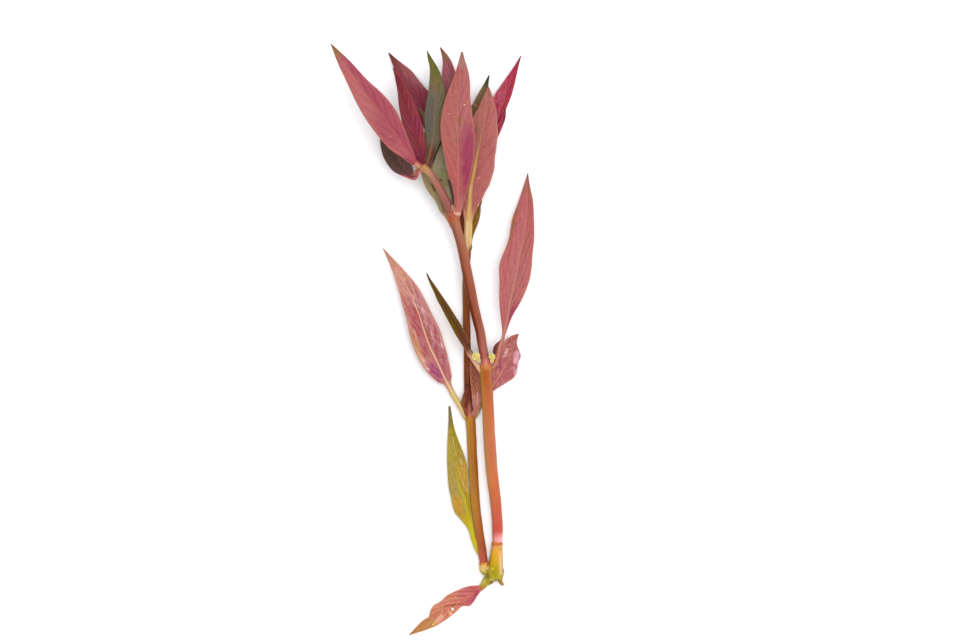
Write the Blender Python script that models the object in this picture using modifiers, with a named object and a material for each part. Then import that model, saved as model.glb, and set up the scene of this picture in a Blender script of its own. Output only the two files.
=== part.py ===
"""A forked cutting of Alternanthera reineckii, lying on a flat surface as it was cut.

All places are in millimetres on the plant: x to the right, y towards the shoot tips and z up from the
surface. The front stem lies over the back stem, and both spring from the piece of old node at the base.
"""
import math

import bmesh
import bpy
import numpy as np

MM = 0.001
# The middle of the cutting's outline on the surface, which becomes the part's origin
MIDDLE = (0.335, 0.032, 0.06)

# A leaf's thickness in its blade and its stalk, and its half-widths at the stalk and the tip
LAMINA = 0.4
STALK_THICKNESS = 1.0
STALK_HALF_WIDTH = 0.65
TIP_HALF_WIDTH = 0.12
# Shares of the leaf: the midrib across the blade, and the lengths in which the stalk's width and its
# thickness run out past the stalk
MIDRIB_SHARE = 0.09
STALK_WIDTH_FADE = 0.5
STALK_FLESH_FADE = 0.15
# How much thinner the midrib is at the tip, and how soon the blade is wide enough to fold and wave
MIDRIB_THINNING = 0.6
BLADE_OPENING = 2.0
LEAF_ROWS = 15
LEAF_COLUMNS = (-1.0, -0.52, -MIDRIB_SHARE, MIDRIB_SHARE, 0.52, 1.0)

# Points along a stem, an arm of the fork and the bud, and on the smooth curves that they are read from
STEM_POINTS = 28
ARM_POINTS = 6
BUD_POINTS = 5
PATH_STEPS = 24
PATH_SAMPLES = 201
TUBE_SIDES_LEVEL = 2
WELD = 0.01

# Corners and faces of a flower ball, as shares of its radius
PETAL_TIP = 1.18
PETAL_HOLLOW = 0.88
CORNER_EDGES = 5

# Colours as they look on the plant, in sRGB
SALMON = (0.78, 0.42, 0.40)
ROSE = (0.74, 0.40, 0.44)
PALE_ROSE = (0.80, 0.52, 0.50)
DARK_RED = (0.52, 0.20, 0.26)
CRIMSON = (0.68, 0.18, 0.34)
PURPLE = (0.52, 0.28, 0.36)
GREY_GREEN = (0.46, 0.43, 0.36)
OLIVE = (0.62, 0.55, 0.22)
DARK_OLIVE = (0.42, 0.33, 0.18)
UMBER = (0.33, 0.22, 0.21)
STEM_ORANGE = (0.78, 0.44, 0.28)
STEM_BROWN = (0.62, 0.36, 0.18)
CUT_YELLOW = (0.80, 0.66, 0.26)
FLOWER_CREAM = (0.90, 0.86, 0.52)

# Each leaf: the line of its midrib from stalk to tip, its greatest half-widths left and right of that
# line, where along the blade each is reached, how full its base and tip are (a low number is blunt),
# the share of the length that is bare stalk, the lift of each half (fold) and the turn about the midrib
# from stalk to tip (roll) in degrees, how far the margins bend back down, and the waves of the margins.
LEAVES = {
    "front_top_leaf_left": dict(
        spine=[(-5.3, 58.9, 18.0), (-9.0, 64.3, 20.3), (-19.0, 78.3, 22.2), (-27.3, 90.0, 19.6),
               (-33.7, 98.7, 14.6)],
        width=(4.8, 4.8), widest=(0.42, 0.36), base=(0.9, 0.8), tip=(1.05, 1.5), stalk=0.02,
        fold=(10, 12), roll=(0, -8), droop=0.10, waves=(0.25, 4), colour=SALMON),
    "front_top_leaf_rear": dict(
        spine=[(-3.4, 60.2, 16.6), (-5.0, 66.7, 17.4), (-7.9, 76.0, 16.6), (-10.7, 85.0, 14.6),
               (-12.9, 90.7, 12.2)],
        width=(3.2, 3.8), widest=(0.42, 0.42), base=(1.0, 0.8), tip=(1.1, 1.1), stalk=0.03,
        fold=(16, 10), roll=(-6, -6), droop=0.05, waves=(0.15, 3), colour=DARK_RED),
    "front_top_leaf_right": dict(
        spine=[(-1.5, 59.2, 15.8), (-0.6, 62.2, 15.8), (0.4, 68.0, 15.2), (0.8, 75.0, 14.4),
               (1.3, 83.3, 13.6), (0.6, 90.7, 12.8), (-1.6, 96.4, 12.2)],
        width=(3.1, 3.3), widest=(0.42, 0.5), base=(0.8, 0.9), tip=(1.35, 1.35), stalk=0.03,
        fold=(8, 8), roll=(0, 0), droop=0.12, waves=(0.2, 3), colour=GREY_GREEN),
    "front_top_leaf_curled": dict(
        spine=[(-4.9, 56.0, 15.6), (-5.4, 54.6, 14.2), (-7.0, 54.5, 12.2), (-9.8, 56.8, 9.2),
               (-12.8, 61.8, 5.8), (-15.2, 68.0, 2.8), (-16.8, 74.0, 0.8)],
        width=(3.0, 3.4), widest=(0.38, 0.42), base=(0.9, 0.9), tip=(1.0, 1.0), stalk=0.10,
        fold=(20, 14), roll=(-20, 0), droop=0.0, waves=(0.15, 3), colour=UMBER),
    "front_upper_leaf_right": dict(
        spine=[(9.3, 42.6, 13.7), (8.9, 50.0, 16.6), (8.8, 60.0, 18.6), (8.5, 69.0, 19.2),
               (8.8, 77.7, 18.8), (9.7, 86.7, 17.6), (10.0, 95.9, 16.0)],
        width=(5.5, 6.0), widest=(0.54, 0.46), base=(0.9, 1.0), tip=(1.1, 1.15), stalk=0.02,
        fold=(10, 12), roll=(0, 0), droop=0.15, waves=(0.25, 3), colour=ROSE),
    "front_upper_leaf_left": dict(
        spine=[(4.9, 39.0, 10.9), (3.2, 46.7, 10.5), (1.2, 55.3, 10.7), (-0.3, 64.0, 10.8),
               (-2.3, 71.7, 10.2), (-5.1, 77.8, 9.2)],
        width=(4.7, 4.6), widest=(0.42, 0.42), base=(1.0, 1.0), tip=(1.0, 1.0), stalk=0.05,
        fold=(8, 6), roll=(0, 0), droop=0.12, waves=(0.2, 3), colour=GREY_GREEN),
    "front_middle_leaf_left": dict(
        spine=[(15.0, -9.3, 7.0), (13.7, -7.7, 7.0), (12.3, -5.6, 6.9), (11.2, -2.6, 6.7),
               (9.8, 1.3, 6.3), (6.0, 7.7, 5.9), (2.7, 13.7, 5.3), (-0.3, 19.3, 4.4), (-1.9, 22.5, 3.4)],
        width=(3.8, 3.6), widest=(0.42, 0.38), base=(1.2, 0.9), tip=(1.0, 1.0), stalk=0.26,
        stalk_half=0.95, fold=(68, 65), roll=(-4, -4), droop=0.0, waves=(0.1, 3), colour=DARK_OLIVE),
    "front_middle_leaf_right": dict(
        spine=[(20.8, -8.6, 7.2), (21.8, -6.0, 7.6), (22.6, -2.0, 8.2), (23.4, 0.7, 8.5),
               (24.9, 5.6, 8.9), (26.4, 14.1, 9.2), (28.1, 21.5, 8.9), (29.3, 28.6, 8.0),
               (30.8, 35.0, 6.6), (31.7, 41.3, 4.9), (32.0, 47.7, 3.0), (32.0, 55.7, 0.9)],
        width=(6.4, 4.7), widest=(0.47, 0.44), base=(1.5, 0.9), tip=(0.9, 1.35), stalk=0.12,
        fold=(8, 14), roll=(0, 0), droop=0.15, waves=(0.25, 3), colour=ROSE),
    "back_lower_leaf": dict(
        spine=[(14.9, -73.0, 2.1), (14.4, -69.5, 2.0), (12.9, -61.3, 1.8), (10.9, -53.3, 1.6),
               (9.0, -48.3, 1.5), (7.8, -41.0, 1.4), (6.8, -31.7, 1.3), (5.8, -22.1, 0.9)],
        width=(4.2, 3.6), widest=(0.24, 0.5), base=(0.8, 1.8), tip=(1.5, 2.1), stalk=0.22,
        fold=(4, 20), roll=(0, 0), droop=0.0, waves=(0.15, 3), colour=OLIVE),
    "back_middle_leaf_left": dict(
        spine=[(10.0, -25.2, 2.3), (8.4, -21.3, 3.0), (6.8, -17.8, 3.6), (4.3, -12.8, 4.3),
               (1.9, -7.7, 4.8), (-1.6, 0.0, 5.3), (-4.5, 8.9, 5.5), (-7.3, 15.7, 5.2),
               (-9.4, 19.3, 4.8), (-12.6, 24.8, 3.8), (-16.4, 30.6, 2.2)],
        width=(5.2, 5.2), widest=(0.37, 0.36), base=(1.4, 1.2), tip=(1.25, 1.1), stalk=0.13,
        fold=(12, 14), roll=(0, 0), droop=0.15, waves=(0.3, 4), colour=PALE_ROSE),
    "back_middle_leaf_right": dict(
        spine=[(14.9, -24.6, 2.2), (16.6, -21.4, 2.1), (20.0, -16.0, 2.4), (22.9, -11.4, 3.0),
               (25.0, -7.4, 3.6), (26.9, -4.0, 4.1), (28.7, 2.0, 4.0)],
        width=(4.4, 4.3), widest=(0.72, 0.5), base=(0.9, 1.3), tip=(0.45, 0.7), stalk=0.25,
        fold=(6, 8), roll=(0, 0), droop=0.0, waves=(0.4, 3), colour=ROSE),
    "back_axil_leaf_left": dict(
        spine=[(10.7, -23.6, 3.6), (10.4, -21.2, 4.0), (10.9, -17.9, 4.4), (12.0, -14.8, 4.2)],
        width=(1.3, 1.5), widest=(0.42, 0.5), base=(0.8, 0.8), tip=(0.9, 0.9), stalk=0.03,
        stalk_half=0.45, fold=(-16, -12), roll=(0, 0), droop=0.0, waves=(0.0, 2), rows=8, colour=DARK_RED),
    "back_axil_leaf_right": dict(
        spine=[(13.9, -23.6, 4.3), (14.5, -20.2, 4.1), (14.7, -15.0, 3.7), (14.2, -8.3, 3.5),
               (13.6, -4.0, 3.4)],
        width=(1.4, 1.5), widest=(0.42, 0.42), base=(0.8, 0.8), tip=(0.9, 0.9), stalk=0.03,
        fold=(14, 14), roll=(0, 0), droop=0.0, waves=(0.0, 2), rows=10, colour=PURPLE),
    "back_upper_leaf_front": dict(
        spine=[(11.9, 31.2, 6.4), (12.1, 37.3, 7.4), (12.2, 42.3, 8.6), (12.9, 50.0, 10.2),
               (14.0, 55.5, 11.2), (15.3, 62.7, 12.2), (17.0, 70.0, 12.6), (18.2, 76.7, 12.2),
               (18.8, 84.4, 11.0)],
        width=(6.0, 6.4), widest=(0.43, 0.43), base=(1.2, 1.15), tip=(0.85, 0.8), stalk=0.13,
        stalk_half=1.35, fold=(8, 12), roll=(0, 0), droop=0.12, waves=(0.25, 3), colour=ROSE),
    "back_upper_leaf_rear": dict(
        spine=[(13.6, 31.8, 3.6), (13.8, 36.7, 3.6), (13.9, 42.0, 3.9), (14.2, 50.0, 4.4),
               (14.8, 58.0, 4.6), (15.2, 66.0, 4.3)],
        width=(2.0, 2.6), widest=(0.42, 0.42), base=(0.8, 0.7), tip=(1.0, 1.0), stalk=0.05,
        fold=(6, 6), roll=(0, 0), droop=0.0, waves=(0.15, 3), colour=DARK_OLIVE),
    "back_top_leaf_middle": dict(
        spine=[(9.5, 55.2, 6.5), (8.7, 63.3, 7.8), (7.9, 73.3, 8.7), (7.0, 82.7, 8.8),
               (5.6, 90.7, 8.2), (2.7, 97.6, 7.0)],
        width=(3.2, 3.4), widest=(0.48, 0.48), base=(0.9, 0.9), tip=(1.15, 0.95), stalk=0.05,
        fold=(10, 10), roll=(0, 0), droop=0.10, waves=(0.15, 3), colour=PURPLE),
    "back_top_leaf_right": dict(
        spine=[(11.4, 55.0, 4.9), (11.5, 63.3, 5.6), (13.0, 71.0, 6.4), (15.3, 77.3, 7.0),
               (17.3, 82.7, 6.9), (19.1, 88.5, 6.2)],
        width=(2.7, 2.8), widest=(0.46, 0.46), base=(0.9, 0.9), tip=(0.95, 1.1), stalk=0.05,
        fold=(8, 8), roll=(0, 0), droop=0.0, waves=(0.1, 3), colour=DARK_OLIVE),
    "back_top_leaf_far_right": dict(
        spine=[(13.1, 53.9, 3.3), (16.0, 60.0, 2.3), (19.3, 67.3, 1.8), (22.4, 74.7, 1.5),
               (25.1, 82.3, 1.3), (27.4, 89.3, 1.0), (29.7, 95.0, 0.7)],
        width=(2.9, 2.3), widest=(0.48, 0.5), base=(0.9, 0.9), tip=(1.0, 1.0), stalk=0.07,
        fold=(7, 9), roll=(0, 0), droop=0.0, waves=(0.2, 5), colour=CRIMSON),
    "back_top_leaf_left": dict(
        spine=[(7.8, 54.6, 4.6), (5.5, 62.0, 4.8), (1.3, 71.3, 5.0), (-2.7, 77.9, 4.7),
               (-8.8, 87.4, 3.3), (-14.6, 96.1, 0.9)],
        width=(4.0, 4.2), widest=(0.46, 0.44), base=(0.9, 0.9), tip=(1.0, 1.0), stalk=0.05,
        fold=(8, 8), roll=(0, 0), droop=0.10, waves=(0.2, 3), colour=PURPLE),
    "base_leaf": dict(
        spine=[(16.2, -83.05, 1.5), (14.7, -83.9, 1.2), (11.0, -85.7, 1.0), (5.7, -88.3, 0.9),
               (-0.7, -93.3, 0.85), (-7.7, -98.6, 0.7)],
        width=(3.8, 3.1), widest=(0.36, 0.38), base=(0.9, 0.75), tip=(0.95, 1.4), stalk=0.04,
        fold=(6, 8), roll=(0, 0), droop=0.0, waves=(0.3, 3), colour=SALMON),
}

# Each stem: places along its axis and the radius at each, swelling at the nodes
STEMS = {
    "front_stem": dict(
        route=[(21.8, -67.2, 2.6), (21.8, -61.7, 2.8), (21.3, -55.0, 3.1), (20.5, -48.7, 3.5),
               (19.9, -43.3, 3.9), (19.4, -36.7, 4.4), (19.0, -30.0, 4.9), (18.5, -20.0, 5.8),
               (18.0, -12.0, 6.6), (17.9, -8.8, 6.9), (17.7, -7.0, 7.1), (16.8, -2.3, 7.5),
               (15.9, 3.0, 8.0), (14.3, 9.3, 8.6), (12.1, 20.0, 9.7), (9.8, 31.0, 10.9), (8.4, 36.5, 11.5),
               (7.2, 41.0, 12.0), (4.3, 47.3, 13.6), (1.8, 51.7, 15.0), (-1.0, 55.7, 16.4),
               (-3.3, 57.6, 17.1)],
        radius=[1.65, 1.75, 1.8, 1.88, 1.85, 1.87, 1.84, 1.83, 1.9, 1.95, 1.6, 1.42, 1.42, 1.42, 1.5, 1.45,
                1.5, 1.5, 1.2, 1.15, 1.15, 1.3],
        colour=STEM_ORANGE),
    "back_stem": dict(
        route=[(17.3, -73.9, 2.2), (16.8, -68.0, 1.9), (14.4, -54.3, 1.6), (13.4, -40.5, 1.6),
               (12.8, -28.5, 1.8), (12.6, -25.5, 1.9), (12.3, -22.0, 1.9), (11.9, -16.0, 2.0),
               (11.8, -5.3, 2.2), (11.5, 7.3, 2.5), (11.3, 20.0, 3.0), (11.8, 25.0, 3.4),
               (11.9, 30.0, 3.8), (10.9, 38.0, 4.3), (10.3, 46.0, 4.7), (10.3, 53.0, 5.0)],
        radius=[1.4, 1.4, 1.45, 1.43, 1.55, 1.5, 1.2, 1.2, 1.2, 1.2, 1.15, 1.05, 1.1, 0.95, 0.95, 1.05],
        colour=STEM_BROWN),
}

# The piece of old stem at the base: an arm under each stem, the scar below the old leaf and a torn shred
FORK_ARMS = [
    dict(route=[(21.78, -67.5, 2.6), (21.6, -71.0, 2.5), (21.4, -75.0, 2.4), (21.25, -78.8, 2.4),
                (21.0, -80.2, 2.3)],
         radius=[1.68, 1.85, 2.15, 2.3, 1.8]),
    dict(route=[(17.35, -74.2, 2.2), (17.6, -75.9, 2.2), (18.6, -77.6, 2.2), (20.6, -78.2, 2.2)],
         radius=[1.43, 1.5, 1.5, 1.4]),
    dict(route=[(20.4, -78.0, 2.1), (18.8, -79.8, 2.0), (17.5, -81.3, 1.8), (16.7, -82.6, 1.6)],
         radius=[1.5, 1.5, 1.25, 0.9]),
    dict(route=[(21.9, -78.6, 2.5), (22.4, -80.1, 2.5), (23.1, -81.1, 2.7), (23.8, -81.9, 3.0)],
         radius=[0.6, 0.55, 0.5, 0.35]),
]

# Flower heads in the joints of the leaves: centre and radius of each ball, larger one first
FLOWER_HEADS = {
    "flower_head_left": [((14.7, -5.5, 8.7), 1.3), ((15.6, -6.8, 9.0), 0.65)],
    "flower_head_right": [((20.0, -5.6, 9.0), 1.15), ((20.0, -7.0, 9.2), 0.65)],
}
# The closed bud, along y
BUD = dict(route=[(7.0, 43.25, 15.0), (7.0, 43.8, 15.0), (7.0, 44.5, 15.0), (7.0, 45.15, 15.0)],
           radius=[0.3, 0.5, 0.4, 0.1])


def srgb(colour):
    """An sRGB colour as Blender's linear one"""
    linear = [c / 12.92 if c <= 0.04045 else ((c + 0.055) / 1.055) ** 2.4 for c in colour]
    return (*linear, 1.0)


def finish(name, colour, roughness):
    """A plain material in the colour of the piece"""
    material = bpy.data.materials.new(name)
    material.use_nodes = True
    shader = material.node_tree.nodes["Principled BSDF"]
    shader.inputs["Base Color"].default_value = srgb(colour)
    shader.inputs["Roughness"].default_value = roughness
    shader.inputs["Metallic"].default_value = 0.0
    material.diffuse_color = srgb(colour)
    return material


def smooth_path(points, samples=PATH_SAMPLES):
    """Evenly spaced rows on a smooth curve through the given rows"""
    rows = np.array(points, float)
    rows = np.vstack([2 * rows[0] - rows[1], rows, 2 * rows[-1] - rows[-2]])
    pieces = []
    for a, b, c, d in zip(rows, rows[1:], rows[2:], rows[3:]):
        t = np.linspace(0.0, 1.0, PATH_STEPS, endpoint=False)[:, None]
        pieces.append(0.5 * (2 * b + (c - a) * t + (2 * a - 5 * b + 4 * c - d) * t ** 2
                             + (3 * b - a - 3 * c + d) * t ** 3))
    pieces.append(rows[-2][None])
    path = np.vstack(pieces)
    steps = np.linalg.norm(np.diff(path[:, :3], axis=0), axis=1)
    run = np.concatenate([[0.0], np.cumsum(steps)])
    even = np.linspace(0.0, run[-1], samples)
    return np.stack([np.interp(even, run, column) for column in path.T], axis=1)


def to_metres(point):
    """A place on the plant as a place in the scene"""
    return tuple((value - shift) * MM for value, shift in zip(point, MIDDLE))


def taper(leaf, side, t):
    """Half-width of one side of the blade at t along the leaf, without its stalk"""
    start = leaf["stalk"]
    if t <= start:
        return 0.0
    s = (t - start) / (1.0 - start)
    widest = leaf["widest"][side]
    if s < widest:
        share = math.sin(0.5 * math.pi * s / widest) ** leaf["base"][side]
    else:
        share = max(0.0, math.cos(0.5 * math.pi * (s - widest) / (1.0 - widest))) ** leaf["tip"][side]
    return leaf["width"][side] * share


def half_width(leaf, side, t):
    """Half-width of one side of the leaf at t, from the stalk to the narrow end of the tip"""
    fade = max(0.0, 1.0 - max(0.0, t - leaf["stalk"]) / STALK_WIDTH_FADE)
    stalk = leaf.get("stalk_half", STALK_HALF_WIDTH) * fade
    return max(math.hypot(taper(leaf, side, t), stalk), TIP_HALF_WIDTH)


def leaf_frame(path, t, roll):
    """Place, side direction and upward direction of the leaf at t"""
    at = t * (len(path) - 1)
    low = min(int(at), len(path) - 2)
    place = path[low] + (path[low + 1] - path[low]) * (at - low)
    ahead = path[min(low + 3, len(path) - 1)] - path[max(low - 2, 0)]
    ahead = ahead / np.linalg.norm(ahead)
    side = np.cross(ahead, (0.0, 0.0, 1.0))
    side = side / np.linalg.norm(side)
    up = np.cross(side, ahead)
    angle = math.radians(roll[0] + (roll[1] - roll[0]) * t)
    return place, side * math.cos(angle) + up * math.sin(angle), up * math.cos(angle) - side * math.sin(angle)


def leaf_point(leaf, path, t, u):
    """A point on the upper face: t runs from the stalk to the tip, u from the left margin to the right"""
    place, side, up = leaf_frame(path, t, leaf["roll"])
    hand = 0 if u < 0 else 1
    reach = abs(u) * half_width(leaf, hand, t)
    open_blade = min(1.0, taper(leaf, hand, t) / leaf["width"][hand] * BLADE_OPENING)
    fold = math.radians(leaf["fold"][hand]) * open_blade
    height, count = leaf["waves"]
    wave = height * u * u * math.sin(math.pi * t) * math.sin(2.0 * math.pi * count * t + 2.0 * hand)
    lift = reach * math.sin(fold) - leaf["droop"] * reach * abs(u) + wave * open_blade
    return place + side * math.copysign(reach * math.cos(fold), u) + up * lift


def flesh(leaf, t, u):
    """Thickness of the leaf at a point: stalk and midrib are thick, the blade thin"""
    bare = max(0.0, 1.0 - max(0.0, t - leaf["stalk"]) / STALK_FLESH_FADE)
    midrib = 1.0 - MIDRIB_THINNING * t if abs(u) <= MIDRIB_SHARE else 0.0
    return LAMINA + (STALK_THICKNESS - LAMINA) * max(midrib, bare)


def add_leaf(collection, name, leaf):
    """A leaf as a curved sheet with the thickness of a blade and its stalk"""
    path = smooth_path(leaf["spine"])
    sheet = bmesh.new()
    rows = leaf.get("rows", LEAF_ROWS)
    bmesh.ops.create_grid(sheet, x_segments=len(LEAF_COLUMNS) - 1, y_segments=rows, size=1.0)
    mesh = bpy.data.meshes.new(name)
    thickness = []
    for vertex in sheet.verts:
        column = round((vertex.co.x + 1.0) / 2.0 * (len(LEAF_COLUMNS) - 1))
        t = (vertex.co.y + 1.0) / 2.0
        u = LEAF_COLUMNS[column]
        thickness.append(flesh(leaf, t, u))
        vertex.co = to_metres(leaf_point(leaf, path, t, u))
    sheet.to_mesh(mesh)
    sheet.free()
    piece = bpy.data.objects.new(name, mesh)
    collection.objects.link(piece)
    group = piece.vertex_groups.new(name="flesh")
    for index, value in enumerate(thickness):
        group.add([index], value / STALK_THICKNESS, "REPLACE")
    solid = piece.modifiers.new("blade", "SOLIDIFY")
    solid.thickness = STALK_THICKNESS * MM
    solid.offset = -1.0
    solid.vertex_group = group.name
    mesh.materials.append(finish(name, leaf["colour"], 0.45))
    mesh.shade_smooth()
    return piece


def add_tube(collection, name, route, radius, points):
    """A round stem along a route, as thick as the radius given at each place"""
    path = smooth_path([(*place, thick) for place, thick in zip(route, radius)], points)
    curve = bpy.data.curves.new(name, "CURVE")
    curve.dimensions = "3D"
    curve.bevel_depth = MM
    curve.bevel_resolution = TUBE_SIDES_LEVEL
    curve.use_fill_caps = True
    spline = curve.splines.new("POLY")
    spline.points.add(len(path) - 1)
    for point, row in zip(spline.points, path):
        point.co = (*to_metres(row[:3]), 1.0)
        point.radius = row[3]
    piece = bpy.data.objects.new(name, curve)
    collection.objects.link(piece)
    return piece


def as_mesh(piece):
    """The same piece as a mesh object with its end caps joined on"""
    evaluated = piece.evaluated_get(bpy.context.evaluated_depsgraph_get())
    mesh = bpy.data.meshes.new_from_object(evaluated)
    joined = bmesh.new()
    joined.from_mesh(mesh)
    bmesh.ops.remove_doubles(joined, verts=joined.verts, dist=WELD * MM)
    bmesh.ops.recalc_face_normals(joined, faces=joined.faces)
    joined.to_mesh(mesh)
    joined.free()
    name = piece.name
    matrix = piece.matrix_world.copy()
    collection = piece.users_collection[0]
    bpy.data.objects.remove(piece)
    solid = bpy.data.objects.new(name, mesh)
    solid.matrix_world = matrix
    collection.objects.link(solid)
    return solid


def join(piece, other):
    """Joins the other solid to the piece, and keeps the other only as a guide"""
    union = piece.modifiers.new("join_" + other.name, "BOOLEAN")
    union.operation = "UNION"
    union.object = other
    other.hide_render = True
    other.display_type = "WIRE"


def add_fork(collection, guides):
    """The piece of old stem that holds both stems and the lowest leaf"""
    body = None
    for number, arm in enumerate(FORK_ARMS):
        home = collection if body is None else guides
        name = "fork_base" if body is None else "fork_arm_" + str(number)
        tube = add_tube(home, name, arm["route"], arm["radius"], ARM_POINTS)
        bpy.context.view_layer.update()
        tube = as_mesh(tube)
        if body is None:
            body = tube
        else:
            join(body, tube)
    body.data.materials.append(finish("fork_base", CUT_YELLOW, 0.5))
    return body


def spiny_ball(name, place, radius):
    """A ball whose twelve corners stand out as the tips of small petals"""
    ball = bmesh.new()
    bmesh.ops.create_icosphere(ball, subdivisions=2, radius=radius * MM)
    for vertex in ball.verts:
        vertex.co *= PETAL_TIP if len(vertex.link_edges) == CORNER_EDGES else PETAL_HOLLOW
    bmesh.ops.translate(ball, verts=ball.verts, vec=to_metres(place))
    mesh = bpy.data.meshes.new(name)
    ball.to_mesh(mesh)
    ball.free()
    return bpy.data.objects.new(name, mesh)


def add_flower_head(collection, guides, name, balls):
    """A head of small flowers with a younger one grown against it"""
    head = None
    for number, (place, radius) in enumerate(balls):
        ball = spiny_ball(name if head is None else name + "_young_" + str(number), place, radius)
        if head is None:
            head = ball
            collection.objects.link(head)
        else:
            guides.objects.link(ball)
            join(head, ball)
    head.data.materials.append(finish(name, FLOWER_CREAM, 0.6))
    return head


def add_bud(collection):
    """A closed bud standing in the joint of the upper leaf"""
    bud = add_tube(collection, "flower_bud", BUD["route"], BUD["radius"], BUD_POINTS)
    bud.data.materials.append(finish("flower_bud", FLOWER_CREAM, 0.6))
    return bud


def build():
    for item in list(bpy.data.objects):
        bpy.data.objects.remove(item)
    plant = bpy.data.collections.new("alternanthera_cutting")
    guides = bpy.data.collections.new("guides")
    for collection in (plant, guides):
        bpy.context.scene.collection.children.link(collection)
    add_fork(plant, guides)
    for name, stem in STEMS.items():
        tube = add_tube(plant, name, stem["route"], stem["radius"], STEM_POINTS)
        tube.data.materials.append(finish(name, stem["colour"], 0.4))
    for name, leaf in LEAVES.items():
        add_leaf(plant, name, leaf)
    for name, balls in FLOWER_HEADS.items():
        add_flower_head(plant, guides, name, balls)
    add_bud(plant)


build()
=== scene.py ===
"""A forked cutting of Alternanthera reineckii on white paper, seen from straight above.

All places are in millimetres on the plant: x to the right, y towards the shoot tips and z up from the
paper. Colours are sRGB, from 0 to 255. The left and the right side of a leaf, sides 0 and 1, are as seen
from its stalk towards its tip.
"""
import math

import bmesh
import bpy
import numpy as np
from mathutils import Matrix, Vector


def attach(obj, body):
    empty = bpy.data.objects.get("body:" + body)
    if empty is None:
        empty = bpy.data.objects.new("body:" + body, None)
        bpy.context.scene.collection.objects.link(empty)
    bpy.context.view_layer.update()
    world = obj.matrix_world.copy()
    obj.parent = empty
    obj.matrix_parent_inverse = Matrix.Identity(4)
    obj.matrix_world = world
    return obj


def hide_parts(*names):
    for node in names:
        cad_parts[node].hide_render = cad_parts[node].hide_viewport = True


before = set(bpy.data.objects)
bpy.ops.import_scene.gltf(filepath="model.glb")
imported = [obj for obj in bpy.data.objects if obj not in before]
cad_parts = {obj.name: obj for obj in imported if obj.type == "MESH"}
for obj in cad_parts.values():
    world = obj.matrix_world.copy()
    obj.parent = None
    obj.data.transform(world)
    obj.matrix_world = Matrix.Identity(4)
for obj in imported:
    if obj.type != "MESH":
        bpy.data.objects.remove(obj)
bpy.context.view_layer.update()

MM = 0.001
TURN = 2 * math.pi
MIDDLE = np.array((0.335, 0.032, 0.06))

# The view: a frame of 960 by 640 pixels, 320 mm wide, on a long lens straight above
FRAME_WIDTH = 320
FRAME_CENTRE = (16, 6.667, 10)
LENS = 400
SENSOR = 36
VIEW_DEPTH = 20

# The light on the paper, as a share of what makes it white, and the light that a surface's gloss adds
LIGHT_LEVEL = 1.25
GLOSS_SHARE = 0.04
STEM_GLOSS = 0.018
SURROUND = (0.97, 0.98, 1, 1)
SURROUND_STRENGTH = 0.70

# Each lamp: its place and its size in metres, and its power
LAMPS = {"window": ((0.9, 0.3, 1.3), 2, 11), "overhead": ((0.1, 0.1, 1.8), 1.2, 21)}

PAPER_DARK = (0.92, 0.92, 0.93, 1)
PAPER_PALE = (0.95, 0.95, 0.95, 1)
PAPER_SIZE = 6
PAPER_ROUGHNESS = 0.9
PAPER_SPECULAR = 0.1
FIBRE_EDGE = (0.3, 0.7)

# Rows and columns of a blade, rings and sides of a stem and of an arm of the fork, steps of a path
ROWS = 150
COLUMNS = 37
RINGS = 300
SIDES = 36
ARM_RINGS = 30
ARM_SIDES = 28
PATH_STEPS = 24
PATH_SAMPLES = 601

# How the parts of a leaf run out along it, as shares of its length, and its blunt tip, in mm
STALK_WIDTH_FADE = 0.5
STALK_ROUND_FROM = 0.8
STALK_ROUND_FADE = 0.10
BLADE_OPENING = 2
BLUNT = 0.28
BLUNT_FROM = (0.86, 0.95)
BLUNT_LENGTH = 2.5
SOFTEN = np.array((1, 2, 3, 2, 1)) / 9

# Small waves of a leaf's outline: their rates along it, and their share of the half-width. The blade's own
# waves are staggered between its sides.
EDGE_RATES = (9, 17, 29)
EDGE_WAVE = 0.011
WAVE_STAGGER = 2

# Thicknesses and limits of a leaf, in mm, and the stalk's rise and depth, as shares of its half-width
LEAST_HALF_WIDTH = 0.05
LEAST_HEIGHT = 0.08
LEAST_OFFSET = 0.05
BLADE_THICKNESS = 0.24
MARGIN_THICKNESS = 0.07
CREASE = 0.35
STALK_RISE = 0.35
STALK_DEPTH = 0.95

# Midrib and keel: half-widths and height in mm, and how they run out towards the tip
RIB_HALF = 0.33
RIB_TAPER = 0.75
RIB_BASE = 0.25
RIB_COLOUR = 0.8
RIB_COLOUR_FADE = 0.4
RIB_COLOUR_LAST = (0.6, 1)
KEEL_HEIGHT = 0.38
KEEL_HALF = 0.5

# Side veins: how they curve, stray and end, across the blade and along it
VEIN_PAIRS = 8
VEIN_WIDTH = 0.065
VEIN_CURVE = 1.35
VEIN_STAGGER = 0.23
VEIN_STRAY = 0.06
VEIN_BENDS = (9, 6)
VEIN_START = (0, 0.12)
VEIN_END = (0.75, 1)
VEIN_BLADE = (0.1, 0.4)
VEIN_LAST = (0.8, 1)

# Relief of a blade in mm. Hills and creases are (seed, stretch across, size), and the streaks of painted
# highlight have a rate along the blade and one across it.
PUFF = 0.13
PUFF_SHAPE = 0.8
VEIN_DEPTH = 0.07
CHANNEL_DEPTH = 0.10
HILL_HEIGHT = 0.07
HILLS = (50, 1, 7)
CREASES = (90, 1.6, 2.6)
STREAK_RATES = (0.35, 1.6)

# Stems: ridges as (share of the radius, count, turn, start), hills as (seed, height, size, spread),
# the scars at their nodes, and how fast the grain changes around and along them
RIDGES = [(0.018, 9, 5, 0), (0.012, 14, -3, 1)]
STEM_HILLS = (7, 0.03, 6, 2)
STEM_END = 0.35
SCAR_REACH = 0.35
SCAR_STRENGTH = 0.45
GRAIN_RATES = (2.4, 0.11)

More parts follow.
